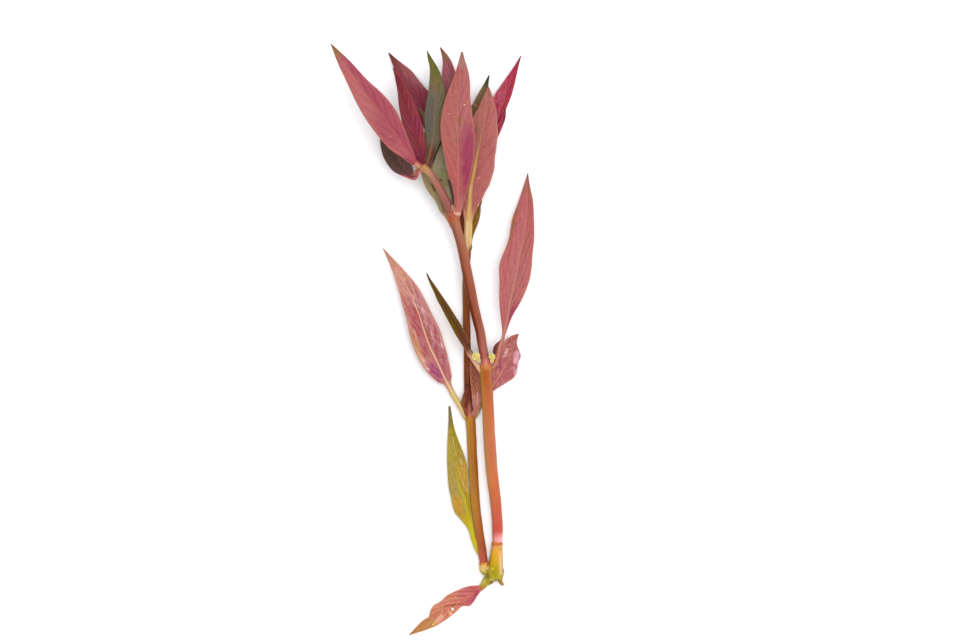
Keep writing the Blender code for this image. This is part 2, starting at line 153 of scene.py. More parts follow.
# Patterns: waves in a metre or in a unit of a streaked field, detail and roughness
PATTERNS = dict(broad=(330, 3, 0.6), mottle=(900, 4, 0.65), grain=(4200, 2, 0.6), ragged=(900, 2, 0.55),
                glint=(1, 2, 0.5), streaks=(1, 4, 0.6), blotch=(420, 3, 0.6), torn=(700, 4, 0.65),
                flesh=(2600, 4, 0.7), papery=(1500, 3, 0.6), fibre=(60, 3, 0.5))
NET_SCALE = 1100
SPECK_SCALE = 420

# A cloud of colour: its tint, the values where it starts and where it is full, and its strength
LEAF_DARK = ((60, 22, 26), 0.62, 0.25, 0.22)
LEAF_PALE = ((255, 226, 206), 0.50, 0.80, 0.27)
STEM_DARK = ((120, 60, 34), 0.60, 0.30, 0.16)
STEM_PALE = ((222, 156, 100), 0.54, 0.78, 0.20)
TORN_GREEN = ((146, 136, 10), 0.56, 0.70, 0.5)
TORN_PALE = ((238, 218, 130), 0.60, 0.80, 0.5)
TORN_DARK = ((110, 80, 20), 0.42, 0.25, 0.5)
PETAL_DEEP = ((206, 170, 66), 0.55, 0.75, 0.5)

# Light that sinks in, its reach in red, green and blue and its scale in metres, and the fine relief
LEAF_BODY = dict(soft=0.06, reach=(1, 0.35, 0.25), depth=0.0006, relief=0.00016, strength=0.55)
STEM_BODY = dict(soft=0.10, reach=(1, 0.4, 0.25), depth=0.001, specular=0.12, relief=0.00012, strength=0.6)
FORK_BODY = dict(soft=0.15, reach=(1, 0.7, 0.2), depth=0.001, specular=0.16, relief=0.00035, strength=0.8)
PETAL_BODY = dict(soft=0.25, reach=(1, 0.8, 0.3), depth=0.0006, specular=0.3, relief=0.00008, strength=0.5)

# Colour and gloss of the blades: how far they stray along and across, where each layer begins and ends,
# and how much of it shows
LEAF_STRAY = (0.10, 0.55)
HALVES_BLEND = 0.10
BASE_BLEND = (0.04, -0.10)
TIP_BLEND = (-0.4, 0.6)
MARGIN_BLEND = 0.12
PATCH_EDGE = (1.15, 0.45)
NET_WIDTH = 0.09
NET_SHARE = 0.10
VEIN_SHOWN = (0.2, 0.7, 0.75, 0.35)
SPECK_EDGE = (0.16, 0.08)
SPECK_CHOICE = (0.62, 0.66)
# Painted highlights: the edges of their pale streaks, and their tint
GLINT_EDGE = (0.46, 0.60)
GLINT_TINT = (238, 208, 204)
UNDER_TINT = (190, 150, 136)
UNDER_SHARE = 0.35
LEAF_ROUGH_AT = (0.3, 0.75)
LEAF_ROUGH = ((0.50, 0.22), (0.62, 0.30))
LEAF_RELIEF = (0.7, 0.25, 0.35)
GLOSS_RELIEF = 0.45
COAT_FROM = 0.2
COAT_SHARE = 0.7
COAT_ROUGHNESS = 0.16

# A painted mark's edge: how far it strays, in mm, and its outer and inner reach in half-widths
RAGGED = 0.5
MARK_EDGE = (1.25, 0.45)

# The same for stems, fork and petals
STEM_STRAY = (0.012, 0.7)
STEM_LEFT = (-0.1, -0.85)
STEM_RIGHT = (0.15, 0.9)
STEM_ROUGH = (0.3, 0.7, 0.40, 0.55)
STEM_BLOTCHES = 0.4
SCAR_TINT = (176, 104, 50)
FORK_STRAY = 0.0035
FORK_ROUGH = (0.3, 0.7, 0.34, 0.52)
FORK_FLESH = 0.6
PETAL_BLEND = (0.15, 0.85)
PETAL_ROUGHNESS = 0.6
YOUNG_TINT = (244, 206, 156)

# What a leaf has where its own row doesn't say otherwise. Its stalk is a share of its length, the foot is
# how much wider the stalk is in the stem, and droop is how far the sides hang, as a share of their reach.
# The rib is the midrib's width against the usual one, sweep is how far forward the side veins end, and
# rumple is the height of the creases in mm.
USUAL_LEAF = dict(stalk=0.05, stalk_half=0.65, foot=1.35, widest=(0.42, 0.42), base=(0.9, 0.9), tip=(1, 1),
                  edges={}, roll=(0, 0), droop=0, waves=(0.15, 3), rib=1, sweep=0.24, rumple=0.04, holes=[])
USUAL_LOOK = dict(base_to=0.12, tip_from=0.90, tip_blend=0.07, margins=(0.7, 0.7), margin_width=0.12,
                  margin_span=(-1, 2), rib_fade=(0.33, 0.95), rib_rest=0.35, rib_strength=0.6, gloss=0.1,
                  specular=0.28, stalk=None, specks=None, patches=[], painted_glints=[], marks=[])

# Each leaf: where it leaves the stem, and its spine. For sides 0 and 1: its half-width in mm, where it is
# widest, as a share of the blade, the powers of its base and tip, higher for a slimmer end, and its folds
# in degrees. Rolls, in degrees, are at both ends of the spine, waves are a height in mm and a count, and a
# hole is its middle and its radius. Edges are rows of (place along the spine, half-width in mm) for a side,
# and go before the formula.
LEAVES = {
    "front_top_leaf_left": dict(
        joint=(-3.6, 57.7, 16.9), width=(4.8, 4.8), stalk=0.01, stalk_half=1.1, foot=1, fold=(10, 12),
        roll=(0, -8), droop=0.1, waves=(0.25, 4),
        spine=[(-5.3, 58.9, 18), (-9, 64.3, 20.3), (-19, 78.3, 22.2), (-27.3, 90, 19.6),
               (-33.7, 98.7, 14.6)],
        edges={0: [(0, 1.35), (0.09, 2.9), (0.18, 4.6), (0.27, 5.2), (0.52, 5), (0.67, 3.7), (0.9, 1.45),
                   (1, 0.1)],
               1: [(0, 0.7), (0.09, 1.55), (0.23, 3.35), (0.38, 4.7), (0.46, 4.55), (0.66, 2.6),
                   (0.84, 1.55), (1, 0.1)]}),
    "front_top_leaf_rear": dict(
        joint=(-2.9, 58, 16.2), width=(3.2, 3.8), stalk=0.02, fold=(16, 10), roll=(-6, -6), droop=0.05,
        spine=[(-3.4, 60.2, 16.6), (-5, 66.7, 17.4), (-7.9, 76, 16.6), (-10.7, 85, 14.6),
               (-12.9, 90.7, 12.2)],
        edges={0: [(-0.06, 0.6), (0.03, 2), (0.12, 2.9), (0.5, 2.95), (0.73, 1.6), (0.84, 1), (1, 0.2)],
               1: [(-0.06, 0.45), (0.06, 1.9), (0.21, 2.8), (0.5, 3), (0.67, 2.25), (0.82, 1.3), (1, 0.5)]}),
    "front_top_leaf_right": dict(
        joint=(-2.4, 57.6, 16.2), width=(3.1, 3.3), widest=(0.42, 0.5), base=(0.8, 0.9), stalk=0.03,
        fold=(8, 8), droop=0.12, waves=(0.2, 3),
        spine=[(-1.5, 59.2, 15.8), (-0.6, 62.2, 15.8), (0.4, 68, 15.2), (0.8, 75, 14.4), (1.3, 83.3, 13.6),
               (0.6, 90.7, 12.8), (-1.6, 96.4, 12.2)],
        edges={0: [(0.21, 2.3), (0.38, 3.2), (0.57, 2.85), (0.73, 2.05), (0.85, 1.3), (0.93, 0.95),
                   (1, 0.1)],
               1: [(0.02, 1.2), (0.16, 2.3), (0.25, 3.2), (0.5, 3.5), (0.62, 3.2), (0.71, 2.4),
                   (0.79, 1.85), (0.87, 0.85), (1, 0.1)]}),
    "front_top_leaf_curled": dict(
        joint=(-3.3, 57.2, 16.4), width=(3, 3.4), stalk=0.1, stalk_half=0.85, fold=(20, 14), roll=(-20, 0),
        spine=[(-4.9, 56, 15.6), (-5.4, 54.6, 14.2), (-7, 54.5, 12.2), (-9.8, 56.8, 9.2),
               (-12.8, 61.8, 5.8), (-15.2, 68, 2.8), (-16.8, 74, 0.8)],
        edges={0: [(0.07, 1.3), (0.14, 1.1), (0.25, 1.9), (0.34, 3.3), (0.5, 3.85), (0.68, 3.25),
                   (0.88, 1.4), (1, 0.1)],
               1: [(0.1, 0.9), (0.22, 2.9), (0.38, 3.6), (0.65, 3), (0.8, 2), (1, 0.1)]}),
    "front_upper_leaf_right": dict(
        joint=(8.1, 40.4, 12.4), width=(5.5, 6), stalk=0.02, stalk_half=1.15, foot=0.9, fold=(10, 12),
        droop=0.15, waves=(0.25, 3),
        spine=[(8.6, 42.5, 13.7), (8.85, 50, 16.6), (8.8, 60, 18.6), (8.5, 69, 19.2), (8.8, 77.7, 18.8),
               (9.7, 86.7, 17.6), (10, 95.9, 16)],
        edges={0: [(-0.04, 0.8), (0, 1.7), (0.02, 1.7), (0.05, 1.4), (0.15, 1.95), (0.27, 3.85),
                   (0.34, 4.5), (0.58, 5.65), (0.7, 4.55), (0.83, 2.7), (0.95, 0.95), (1, 0.3)],
               1: [(-0.04, 0.7), (0, 1.2), (0.02, 1.3), (0.08, 2), (0.21, 3.75), (0.33, 5.2), (0.45, 5.95),
                   (0.58, 5.2), (0.71, 3.9), (0.89, 2.2), (0.95, 1.1), (1, 0.3)]}),
    "front_upper_leaf_left": dict(
        joint=(7.6, 36, 11.2), width=(4.7, 4.6), base=(0.8, 0.4), fold=(8, 6), droop=0.12, waves=(0.2, 3),
        spine=[(6.3, 37.6, 10.9), (5, 41, 10.7), (3.2, 46.7, 10.5), (1.2, 55.3, 10.7), (-0.3, 64, 10.8),
               (-1.4, 71.7, 10.2), (-4.7, 77.8, 9.2)],
        edges={0: [(-0.08, 0.3), (0.05, 0.35), (0.1, 0.9), (0.15, 1.7), (0.21, 1.95), (0.25, 2.4),
                   (0.29, 3.25), (0.35, 4.2), (0.45, 4.65), (0.52, 4.5), (0.62, 3.8), (0.72, 2.6),
                   (0.8, 1.4), (0.88, 0.6), (1, 0.1)],
               1: [(-0.02, 0.9), (0.07, 1), (0.11, 3.2), (0.17, 4.6), (0.42, 4.6)]}),
    "front_middle_leaf_left": dict(
        joint=(17, -10.6, 6.9), width=(4, 3.8), widest=(0.28, 0.26), base=(0.8, 0.7), tip=(0.85, 0.85),
        stalk=0.12, stalk_half=0.7, fold=(68, 65), roll=(-4, -4), waves=(0.1, 3),
        spine=[(15.7, -9.4, 7), (14.4, -7.7, 7), (13.2, -5.7, 6.9), (12, -3.4, 6.8), (10.4, -0.2, 6.5),
               (9, 2.4, 6.2), (6, 7.7, 5.9), (2.5, 13.9, 5.3), (-0.5, 19.4, 4.4), (-1.9, 22.5, 3.4)]),
    "front_middle_leaf_right": dict(
        joint=(18.9, -9.6, 6.9), width=(6.4, 4.7), widest=(0.47, 0.44), base=(1.5, 0.9), stalk=0.12,
        stalk_half=0.8, foot=1.1, fold=(8, 14), droop=0.15, waves=(0.25, 3), sweep=0.34,
        spine=[(20.8, -8.6, 7.2), (21.8, -6, 7.6), (22.6, -2, 8.2), (23.4, 0.7, 8.5), (24.9, 5.6, 8.9),
               (26.4, 14.1, 9.2), (28.1, 21.5, 8.9), (29.3, 28.6, 8), (30.8, 35, 6.6), (31.7, 41.3, 4.9),
               (32, 47.7, 3), (32, 55.7, 0.9)],
        edges={0: [(0.01, 0.5), (0.03, 1.1), (0.115, 1.3), (0.13, 0.4), (0.17, 0.6), (0.23, 2), (0.42, 5.1),
                   (0.5, 6.25), (0.6, 5.05), (0.77, 4.7), (0.86, 3), (1, 0.1)],
               1: [(0.15, 0.6), (0.24, 1), (0.35, 3.6), (0.46, 4.75), (0.62, 4), (0.77, 2.4), (0.86, 1.75),
                   (0.95, 0.5), (1, 0.1)]}),
    "back_lower_leaf": dict(
        joint=(16.5, -73.6, 2.2), width=(4.5, 3.6), stalk=0.19, stalk_half=0.85, foot=0.45, fold=(4, 10),
        rib=1.15,
        spine=[(15.3, -70.6, 2.1), (14.1, -67, 2), (12.9, -62, 1.8), (10.9, -53.3, 1.6), (9, -48.3, 1.5),
               (7.8, -41, 1.4), (6.8, -31.7, 1.3), (5.8, -22.1, 0.9)],
        edges={0: [(0.08, 0.9), (0.17, 1.3), (0.24, 3), (0.29, 4.25), (0.36, 4.4), (0.46, 3.6), (0.65, 2.6),
                   (0.78, 1.8), (0.91, 0.8), (1, 0.35)],
               1: [(0.09, 0.7), (0.23, 1.15), (0.36, 1.9), (0.44, 3), (0.57, 3.8), (0.64, 3.4),
                   (0.84, 0.95), (1, 0.3)]}),
    "back_middle_leaf_left": dict(
        joint=(11.9, -26, 1.9), width=(5.2, 5.2), widest=(0.37, 0.36), base=(1.4, 1.2), stalk=0.13,
        stalk_half=0.95, fold=(12, 14), droop=0.15, waves=(0.3, 4), rumple=0.07,
        spine=[(10.6, -24.2, 2.4), (8.8, -21.2, 3), (6.8, -17.8, 3.6), (4.3, -12.8, 4.3), (1.9, -7.7, 4.8),
               (-1.6, 0, 5.3), (-4.5, 8.9, 5.5), (-7.3, 15.7, 5.2), (-9.4, 19.3, 4.8), (-12.6, 24.8, 3.8),
               (-16.4, 30.6, 2.2)],
        edges={0: [(0.2, 2.6), (0.3, 4.9), (0.38, 5.3), (0.58, 4.6), (0.7, 3.8), (0.81, 2.2), (1, 0.1)],
               1: [(0.2, 2.4), (0.35, 4.5), (0.47, 5.25), (0.59, 4.1), (0.76, 3), (0.91, 1.15), (1, 0.1)]}),
    "back_middle_leaf_right": dict(
        joint=(13.4, -26.2, 1.9), width=(4.4, 4.3), widest=(0.72, 0.5), base=(0.9, 1.3), stalk=0.25,
        fold=(6, 8), waves=(0.4, 3), rumple=0.1,
        spine=[(14.9, -24.6, 2.2), (16.6, -21.4, 2.1), (20, -16, 2.4), (22.9, -11.4, 3), (25, -7.4, 3.6),
               (26.9, -4, 4.1), (28.7, 2, 4)],
        edges={0: [(0.5, 3.05), (0.65, 4.1), (0.8, 4.3), (0.91, 3.3), (0.97, 1.6), (1, 0.2)],
               1: [(0.45, 2.9), (0.57, 4.6), (0.68, 3.95), (0.73, 3.3), (0.79, 3), (0.835, 1.8),
                   (0.88, 0.7), (1, 0.2)]}),
    "back_axil_leaf_left": dict(
        joint=(11.8, -25.3, 2.9), width=(1.35, 1.4), widest=(0.36, 0.5), base=(0.8, 0.8), tip=(0.9, 0.9),
        stalk=0.03, stalk_half=0.45, fold=(-16, -12), waves=(0, 2),
        spine=[(11.1, -23.6, 3.6), (10.9, -21.4, 4), (11.5, -18.4, 4.4), (12.3, -14.7, 4.2)]),
    "back_axil_leaf_right": dict(
        joint=(13.6, -25.4, 3.1), width=(1.6, 1.6), stalk=0.03, fold=(14, 14), waves=(0, 2),
        spine=[(14.5, -23.4, 4.3), (15, -21, 4.1), (15.1, -18, 3.9), (14.9, -15.5, 3.7),
               (14.4, -11.5, 3.55), (13.7, -7, 3.4), (13.3, -4, 3.4)],
        edges={0: [(0, 0.75), (0.175, 1.7), (0.43, 2.05), (0.725, 1.6), (1, 0.6)],
               1: [(0, 0.75), (0.175, 1.5), (0.43, 1.65), (0.725, 1.15), (1, 0.1)]}),
    "back_upper_leaf_front": dict(
        joint=(11.8, 28.9, 4.6), width=(6, 6.4), widest=(0.43, 0.43), base=(1.2, 1.15), tip=(0.85, 0.8),
        stalk=0.13, stalk_half=1.35, foot=0.3, fold=(8, 12), droop=0.12, waves=(0.25, 3), rib=1.6,
        spine=[(11.9, 31.2, 6.4), (12.1, 37.3, 7.4), (12.2, 42.3, 8.6), (12.9, 50, 10.2), (14, 55.5, 11.2),
               (15.3, 62.7, 12.2), (17, 70, 12.6), (18.2, 76.7, 12.2), (18.8, 84.4, 11)]),
    "back_upper_leaf_rear": dict(
        joint=(12, 29.4, 3.7), width=(2, 2.6), base=(0.8, 0.7), fold=(6, 6),
        spine=[(12.7, 31.8, 3.6), (13.2, 36.7, 3.6), (13.8, 42, 3.9), (14.2, 50, 4.4), (14.8, 58, 4.6),
               (15.2, 66, 4.3)], edges={1: [(0, 0.4), (0.07, 0.65), (0.23, 2), (0.31, 2.35), (0.4, 2.3)]}),
    "back_top_leaf_middle": dict(
        joint=(9.9, 52.8, 5.3), width=(3.2, 3.4), widest=(0.48, 0.48), tip=(1.15, 0.95), fold=(10, 10),
        droop=0.1,
        spine=[(9.5, 55.2, 6.5), (8.7, 63.3, 7.8), (7.9, 73.3, 8.7), (7, 82.7, 8.8), (5.6, 90.7, 8.2),
               (2.7, 97.6, 7)],
        edges={0: [(0.6, 3.9), (0.7, 3.6), (0.82, 2.45), (0.9, 1.05), (1, 0.1)],
               1: [(0.7, 2.4), (0.8, 1.8), (0.91, 1.3), (1, 0.3)]}),
    "back_top_leaf_right": dict(
        joint=(10.6, 52.8, 4.9), width=(2.7, 2.8), widest=(0.46, 0.46), tip=(0.95, 1.1), fold=(8, 8),
        waves=(0.1, 3),
        spine=[(11.4, 55, 4.9), (11.5, 63.3, 5.6), (13, 71, 6.4), (15.3, 77.3, 7), (17.3, 82.7, 6.9),
               (19.1, 88.5, 6.2)]),
    "back_top_leaf_far_right": dict(
        joint=(10.9, 52.2, 4.3), width=(2.9, 2.3), widest=(0.48, 0.5), stalk=0.07, fold=(7, 9),
        waves=(0.2, 5), rumple=0.05,
        spine=[(13.1, 53.9, 3.3), (16, 60, 2.3), (19.3, 67.3, 1.8), (22.4, 74.7, 1.5), (25.1, 82.3, 1.3),
               (27.4, 89.3, 1), (29.7, 95, 0.7)],
        edges={0: [(0.5, 3.9), (0.63, 4), (0.69, 3.5), (0.78, 2.35), (0.87, 1.15), (1, 0.1)],
               1: [(0.3, 2.2), (0.42, 2.35), (0.55, 1.85), (0.575, 1.4), (0.62, 1.45), (0.69, 1.55),
                   (0.8, 1.3), (1, 0.1)]}),
    "back_top_leaf_left": dict(
        joint=(9.9, 52.5, 4.9), width=(4, 4.2), widest=(0.46, 0.44), fold=(8, 8), droop=0.1, waves=(0.2, 3),
        spine=[(7.8, 54.6, 4.6), (5.5, 62, 4.8), (1.3, 71.3, 5), (-2.7, 77.9, 4.7), (-8.8, 87.4, 3.3),
               (-14.6, 96.1, 0.9)],
        edges={1: [(0.6, 4.1), (0.68, 3.5), (0.8, 2.95), (0.9, 1.45), (1, 0.1)]}),
    "base_leaf": dict(
        joint=(17.6, -81.6, 1.8), width=(3.8, 3.1), stalk=0.02, fold=(6, 8), waves=(0.3, 3), rumple=0.06,
        holes=[((6.85, -89.85), 0.58)],
        spine=[(16.2, -83.15, 1.5), (14.7, -84.1, 1.2), (11.1, -86, 1), (5.9, -88.65, 0.9),
               (-0.5, -93.6, 0.85), (-7.7, -98.6, 0.7)],
        edges={0: [(0, 0.5), (0.07, 1.4), (0.145, 2.65), (0.207, 3.25), (0.26, 2.45), (0.395, 3.05),
                   (0.625, 2.9), (0.87, 1.25), (1, 0.1)],
               1: [(-0.05, 0.9), (0, 1.5), (0.12, 2.9), (0.28, 3.3), (0.375, 3.3), (0.475, 2.85),
                   (0.56, 3.25), (0.64, 2.35), (0.68, 1.3), (0.75, 1.4), (1, 0.1)]}),
}

# How each leaf is painted: its two halves, then what lies over them. Specks are a colour and a strength. A
# patch is a colour, its middle (along, across), its reach (along, across) and its strength, and a painted
# glint, a pale painted highlight, is the same without a colour. A mark is a colour, both ends of a stroke
# on the plant, the stroke's half-width in mm and its strength. Most patches and marks are the leaf's own
# colour; those that are painted shade or painted highlight say so where they stand.
LOOKS = {
    "front_top_leaf_left": dict(
        left=(186, 110, 112), right=(176, 94, 108), margin=(200, 122, 90), tip=(164, 128, 92),
        tip_from=0.85, tip_blend=0.12, base=(170, 84, 94), rib=(182, 94, 88), vein=(152, 58, 70),
        patches=[((194, 112, 122), (0.84, -0.1), (0.07, 0.7), 0.8),
                 ((198, 114, 112), (0.74, -0.5), (0.16, 0.6), 0.4),
                 ((168, 80, 92), (0.35, 0.3), (0.3, 0.7), 0.6),
                 ((166, 84, 94), (0.28, -0.5), (0.18, 0.6), 0.7)],
        marks=[((206, 158, 116), (-5.2, 58.3), (-3.6, 57.2), 0.8, 0.8),
               # Painted highlight: a pale dash of gloss
               ((220, 166, 158), (-14.7, 67.3), (-13.2, 67.8), 0.12, 0.4)]),
    "front_top_leaf_rear": dict(
        left=(134, 64, 70), right=(144, 66, 72), margin=(184, 116, 100), margins=(0.1, 0.45),
        margin_width=0.07, margin_span=(0.5, 1.2), tip=(150, 80, 74), base=(128, 46, 72), rib=(112, 32, 54),
        vein=(100, 28, 46), patches=[((146, 48, 82), (0.36, 0.2), (0.16, 0.8), 0.8)]),
    "front_top_leaf_right": dict(
        left=(118, 110, 90), right=(122, 112, 88), margin=(110, 102, 80), tip=(114, 114, 4), tip_from=0.71,
        tip_blend=0.12, base=(108, 66, 38), base_to=0.18, rib=(144, 126, 106), rib_strength=0.5,
        vein=(98, 88, 74),
        patches=[((132, 108, 74), (0.7, 0.1), (0.1, 0.8), 0.7),
                 ((102, 98, 94), (0.42, -0.5), (0.2, 0.7), 0.7)],
        marks=[((150, 104, 66), (-0.7, 64), (-1.5, 60), 0.7, 0.3)]),
    "front_top_leaf_curled": dict(
        left=(112, 88, 82), right=(122, 92, 88), margin=(222, 126, 132), margins=(1, 0.1),
        margin_span=(-1, 0.3), margin_width=0.6, stalk=(204, 130, 110), tip=(84, 60, 52),
        base=(150, 88, 86), rib=(98, 66, 64), vein=(72, 48, 48),
        patches=[((164, 90, 96), (0.14, -0.6), (0.14, 0.9), 0.9)]),
    "front_upper_leaf_right": dict(
        left=(180, 106, 100), right=(180, 110, 108), margin=(190, 126, 106), tip=(174, 126, 118),
        base=(204, 132, 116), base_to=0.06, rib=(190, 132, 110), rib_strength=0.45, vein=(156, 70, 80),
        specks=((214, 168, 110), 0.3),
        patches=[((160, 70, 94), (0.34, 0.85), (0.27, 0.85), 0.95),
                 ((188, 98, 100), (0.22, -0.3), (0.2, 0.8), 0.6)],
        marks=[((142, 104, 68), (9, 73.7), (9.3, 71.3), 0.5, 0.85),
               ((132, 104, 98), (7.5, 66.7), (8.3, 65.7), 0.3, 0.7),
               ((214, 160, 120), (6, 83), (6.1, 83), 0.2, 0.55),
               ((214, 160, 120), (7.8, 82.8), (7.9, 82.8), 0.2, 0.5),
               ((226, 170, 116), (5.7, 75.3), (5.8, 75.3), 0.22, 0.9),
               ((226, 170, 116), (11.8, 79.2), (11.9, 79.2), 0.22, 0.9),
               ((232, 184, 140), (10.8, 78.3), (10.9, 78.3), 0.3, 0.9),
               ((164, 66, 60), (8.3, 69), (8.2, 60.7), 0.12, 0.5),
               # The leaf's pale foot and the collar at the node, made paler still by a painted highlight
               ((240, 194, 164), (7, 44.3), (7.3, 42.6), 0.4, 0.7),
               ((242, 188, 168), (7.6, 42), (9.3, 42), 0.5, 0.8)]),
    "front_upper_leaf_left": dict(
        left=(164, 146, 108), right=(160, 150, 120), margin=(174, 134, 88), tip=(126, 112, 84),
        base=(182, 118, 64), rib=(176, 160, 120), rib_strength=0.45, vein=(136, 120, 88),
        specks=((96, 58, 42), 0.5), patches=[((144, 138, 92), (0.4, 0.5), (0.1, 0.6), 0.7)],
        marks=[((104, 60, 42), (0, 51.9), (0.9, 49.7), 0.38, 0.75),
               ((110, 70, 52), (2.8, 53.6), (3.6, 52.9), 0.4, 0.7),
               ((116, 78, 58), (4, 52), (4.2, 51.4), 0.35, 0.5),
               # Painted shade: a dark strip where this leaf runs under the next one
               ((92, 66, 30), (5.8, 53), (8, 44), 0.7, 0.9),
               # Painted shade: the deep gap under the leaf lying over this one
               ((54, 36, 22), (3.2, 66.7), (0.2, 59.3), 0.42, 0.9),
               ((122, 66, 36), (0, 59), (-1.3, 56.7), 0.8, 0.8),
               # Painted shadow of the stem on this leaf
               ((140, 92, 84), (2.9, 48), (4.2, 42.8), 0.6, 0.6),
               ((206, 152, 112), (4, 41.7), (6, 37.3), 0.5, 0.8)]),
    "front_middle_leaf_left": dict(
        left=(144, 114, 54), right=(146, 112, 78), margin=(138, 114, 58), tip=(106, 86, 22),
        stalk=(230, 176, 144), base=(160, 104, 84), base_to=0.4, rib=(140, 108, 62), rib_strength=0.4,
        vein=(116, 90, 54),
        # A paler band along the middle of the blade, painted as a highlight
        marks=[((128, 104, 72), (1.7, 14), (6, 7.3), 0.5, 0.5),
               ((80, 48, 32), (12.4, -1.4), (13.9, -4.4), 0.5, 0.8),
               ((232, 182, 150), (13, -5.6), (16.3, -10), 0.5, 0.8)]),
    "front_middle_leaf_right": dict(
        left=(190, 110, 110), right=(186, 108, 104), margin=(192, 124, 110), tip=(180, 114, 104),
        tip_from=0.88, stalk=(190, 118, 100), base=(188, 100, 98), base_to=0.22, rib=(206, 146, 124),
        vein=(152, 70, 82),
        patches=[((166, 76, 100), (0.26, 0.75), (0.08, 0.8), 0.9),
                 ((148, 108, 70), (0.74, -1), (0.16, 0.3), 0.8),
                 # Painted shade on the narrow wing along the stalk, whose underside shows
                 ((98, 62, 38), (0.1, -0.9), (0.07, 0.8), 0.9),
                 ((180, 114, 110), (0.45, 0.1), (0.2, 0.8), 0.5)],
        # Painted shade in a fold of the blade
        marks=[((160, 72, 84), (26.7, 34.7), (23.7, 16.7), 0.14, 0.5)]),
    "back_lower_leaf": dict(
        left=(176, 154, 84), right=(180, 150, 54), margin=(162, 142, 70), tip=(144, 130, 94), tip_from=0.86,
        stalk=(208, 188, 10), base=(190, 152, 44), base_to=0.3, rib=(196, 186, 20), rib_strength=0.95,
        rib_fade=(0.4, 0.6), rib_rest=0.1, vein=(140, 126, 60), specks=((224, 206, 150), 0.5), gloss=0.2,
        specular=0.2,
        patches=[((202, 152, 66), (0.34, -0.8), (0.1, 0.7), 0.9),
                 ((164, 146, 12), (0.84, 0.45), (0.1, 0.9), 0.85),
                 ((202, 158, 82), (0.48, 0.8), (0.14, 0.8), 0.7),
                 ((160, 140, 16), (0.69, 0.8), (0.08, 0.5), 0.5),
                 ((184, 178, 36), (0.7, -0.7), (0.08, 0.6), 0.3)],
        painted_glints=[((0.66, 0.55), (0.08, 0.3), 0.22)],
        # Painted highlights: pale streaks of gloss on the blade
        marks=[((222, 206, 140), (7, -32.7), (8, -38.7), 0.15, 0.7),
               ((214, 180, 124), (8, -40.7), (9.7, -46.7), 0.15, 0.7),
               ((222, 200, 110), (9.3, -40.7), (10.5, -41.5), 0.12, 0.7),
               ((222, 200, 110), (9.3, -42.7), (10.7, -43.3), 0.12, 0.7),
               ((214, 180, 130), (9.7, -46.7), (11.7, -50.7), 0.2, 0.6)]),
    "back_middle_leaf_left": dict(
        left=(188, 112, 104), right=(186, 114, 112), margin=(206, 142, 116), margin_width=0.22,
        tip=(212, 150, 130), tip_from=0.72, tip_blend=0.2, stalk=(212, 186, 110), base=(178, 98, 116),
        base_to=0.24, rib=(230, 190, 146), vein=(162, 82, 98), rib_strength=1, gloss=0.45,
        patches=[((162, 70, 110), (0.27, -0.4), (0.07, 0.6), 0.9),
                 ((162, 70, 110), (0.33, 0.6), (0.05, 0.4), 0.8),
                 ((206, 146, 104), (0.42, -1), (0.14, 0.4), 0.9),
                 ((168, 68, 74), (0.5, -0.3), (0.2, 0.5), 0.85),
                 ((178, 92, 94), (0.42, 0.5), (0.2, 0.5), 0.75)],
        painted_glints=[((0.65, 0.12), (0.07, 0.2), 0.5), ((0.57, 0.4), (0.09, 0.3), 0.35),
                ((0.45, 0.38), (0.06, 0.2), 0.35), ((0.39, 0.75), (0.06, 0.25), 0.45),
                ((0.33, -0.75), (0.04, 0.2), 0.55)],
        marks=[((196, 140, 96), (-6, 3.3), (-4.3, -3.3), 0.5, 0.7),
               ((236, 190, 160), (7, -20), (10.7, -25.7), 0.25, 0.8),
               ((206, 192, 90), (6.7, -17.7), (10.7, -23.7), 0.25, 0.8)]),
    "back_middle_leaf_right": dict(
        left=(192, 114, 110), right=(192, 112, 114), margin=(204, 138, 120), tip=(182, 102, 92),
        stalk=(176, 150, 64), base=(188, 118, 96), base_to=0.34, rib=(208, 150, 112), vein=(160, 76, 88),
        rib_strength=0.9, gloss=0.4,
        patches=[((176, 78, 104), (0.6, -0.3), (0.1, 0.5), 0.5),
                 ((170, 92, 82), (0.86, -0.3), (0.12, 0.8), 0.85)],
        painted_glints=[((0.62, 0.85), (0.06, 0.25), 0.5), ((0.72, -0.4), (0.08, 0.2), 0.4)],
        # Painted highlights: pale patches and creases of gloss
        marks=[((232, 182, 184), (25.1, -2.9), (24.1, -5.4), 0.4, 0.5),
               ((226, 176, 188), (28.3, -4.4), (27.9, -7.2), 0.95, 0.7),
               ((222, 166, 178), (27.3, -9.3), (28, -11.3), 0.5, 0.5)]),
    "back_axil_leaf_left": dict(
        left=(150, 92, 54), right=(122, 66, 46), margin=(110, 60, 36), tip=(96, 50, 36), base=(160, 96, 66),
        rib=(122, 68, 46), vein=(98, 54, 42), patches=[((116, 62, 42), (0.66, 0), (0.24, 1.2), 0.8)]),
    "back_axil_leaf_right": dict(
        left=(166, 98, 68), right=(182, 108, 86), margin=(170, 106, 76), tip=(142, 80, 56),
        base=(196, 128, 112), base_to=0.3, rib=(176, 110, 98), vein=(134, 76, 66), gloss=0.3,
        patches=[((150, 88, 62), (0.6, 0), (0.16, 1.2), 0.7)],
        # Painted highlight: a pink sheen near the edge
        marks=[((226, 160, 156), (15.2, -17.7), (15, -21.7), 0.25, 0.8)]),
    "back_upper_leaf_front": dict(
        left=(176, 110, 100), right=(184, 110, 106), margin=(194, 136, 118), tip=(178, 118, 108),
        tip_from=0.92, stalk=(226, 196, 136), base=(204, 134, 112), base_to=0.24, rib=(214, 170, 104),
        rib_fade=(0.5, 0.72), rib_rest=0.15, rib_strength=1, vein=(166, 88, 86),
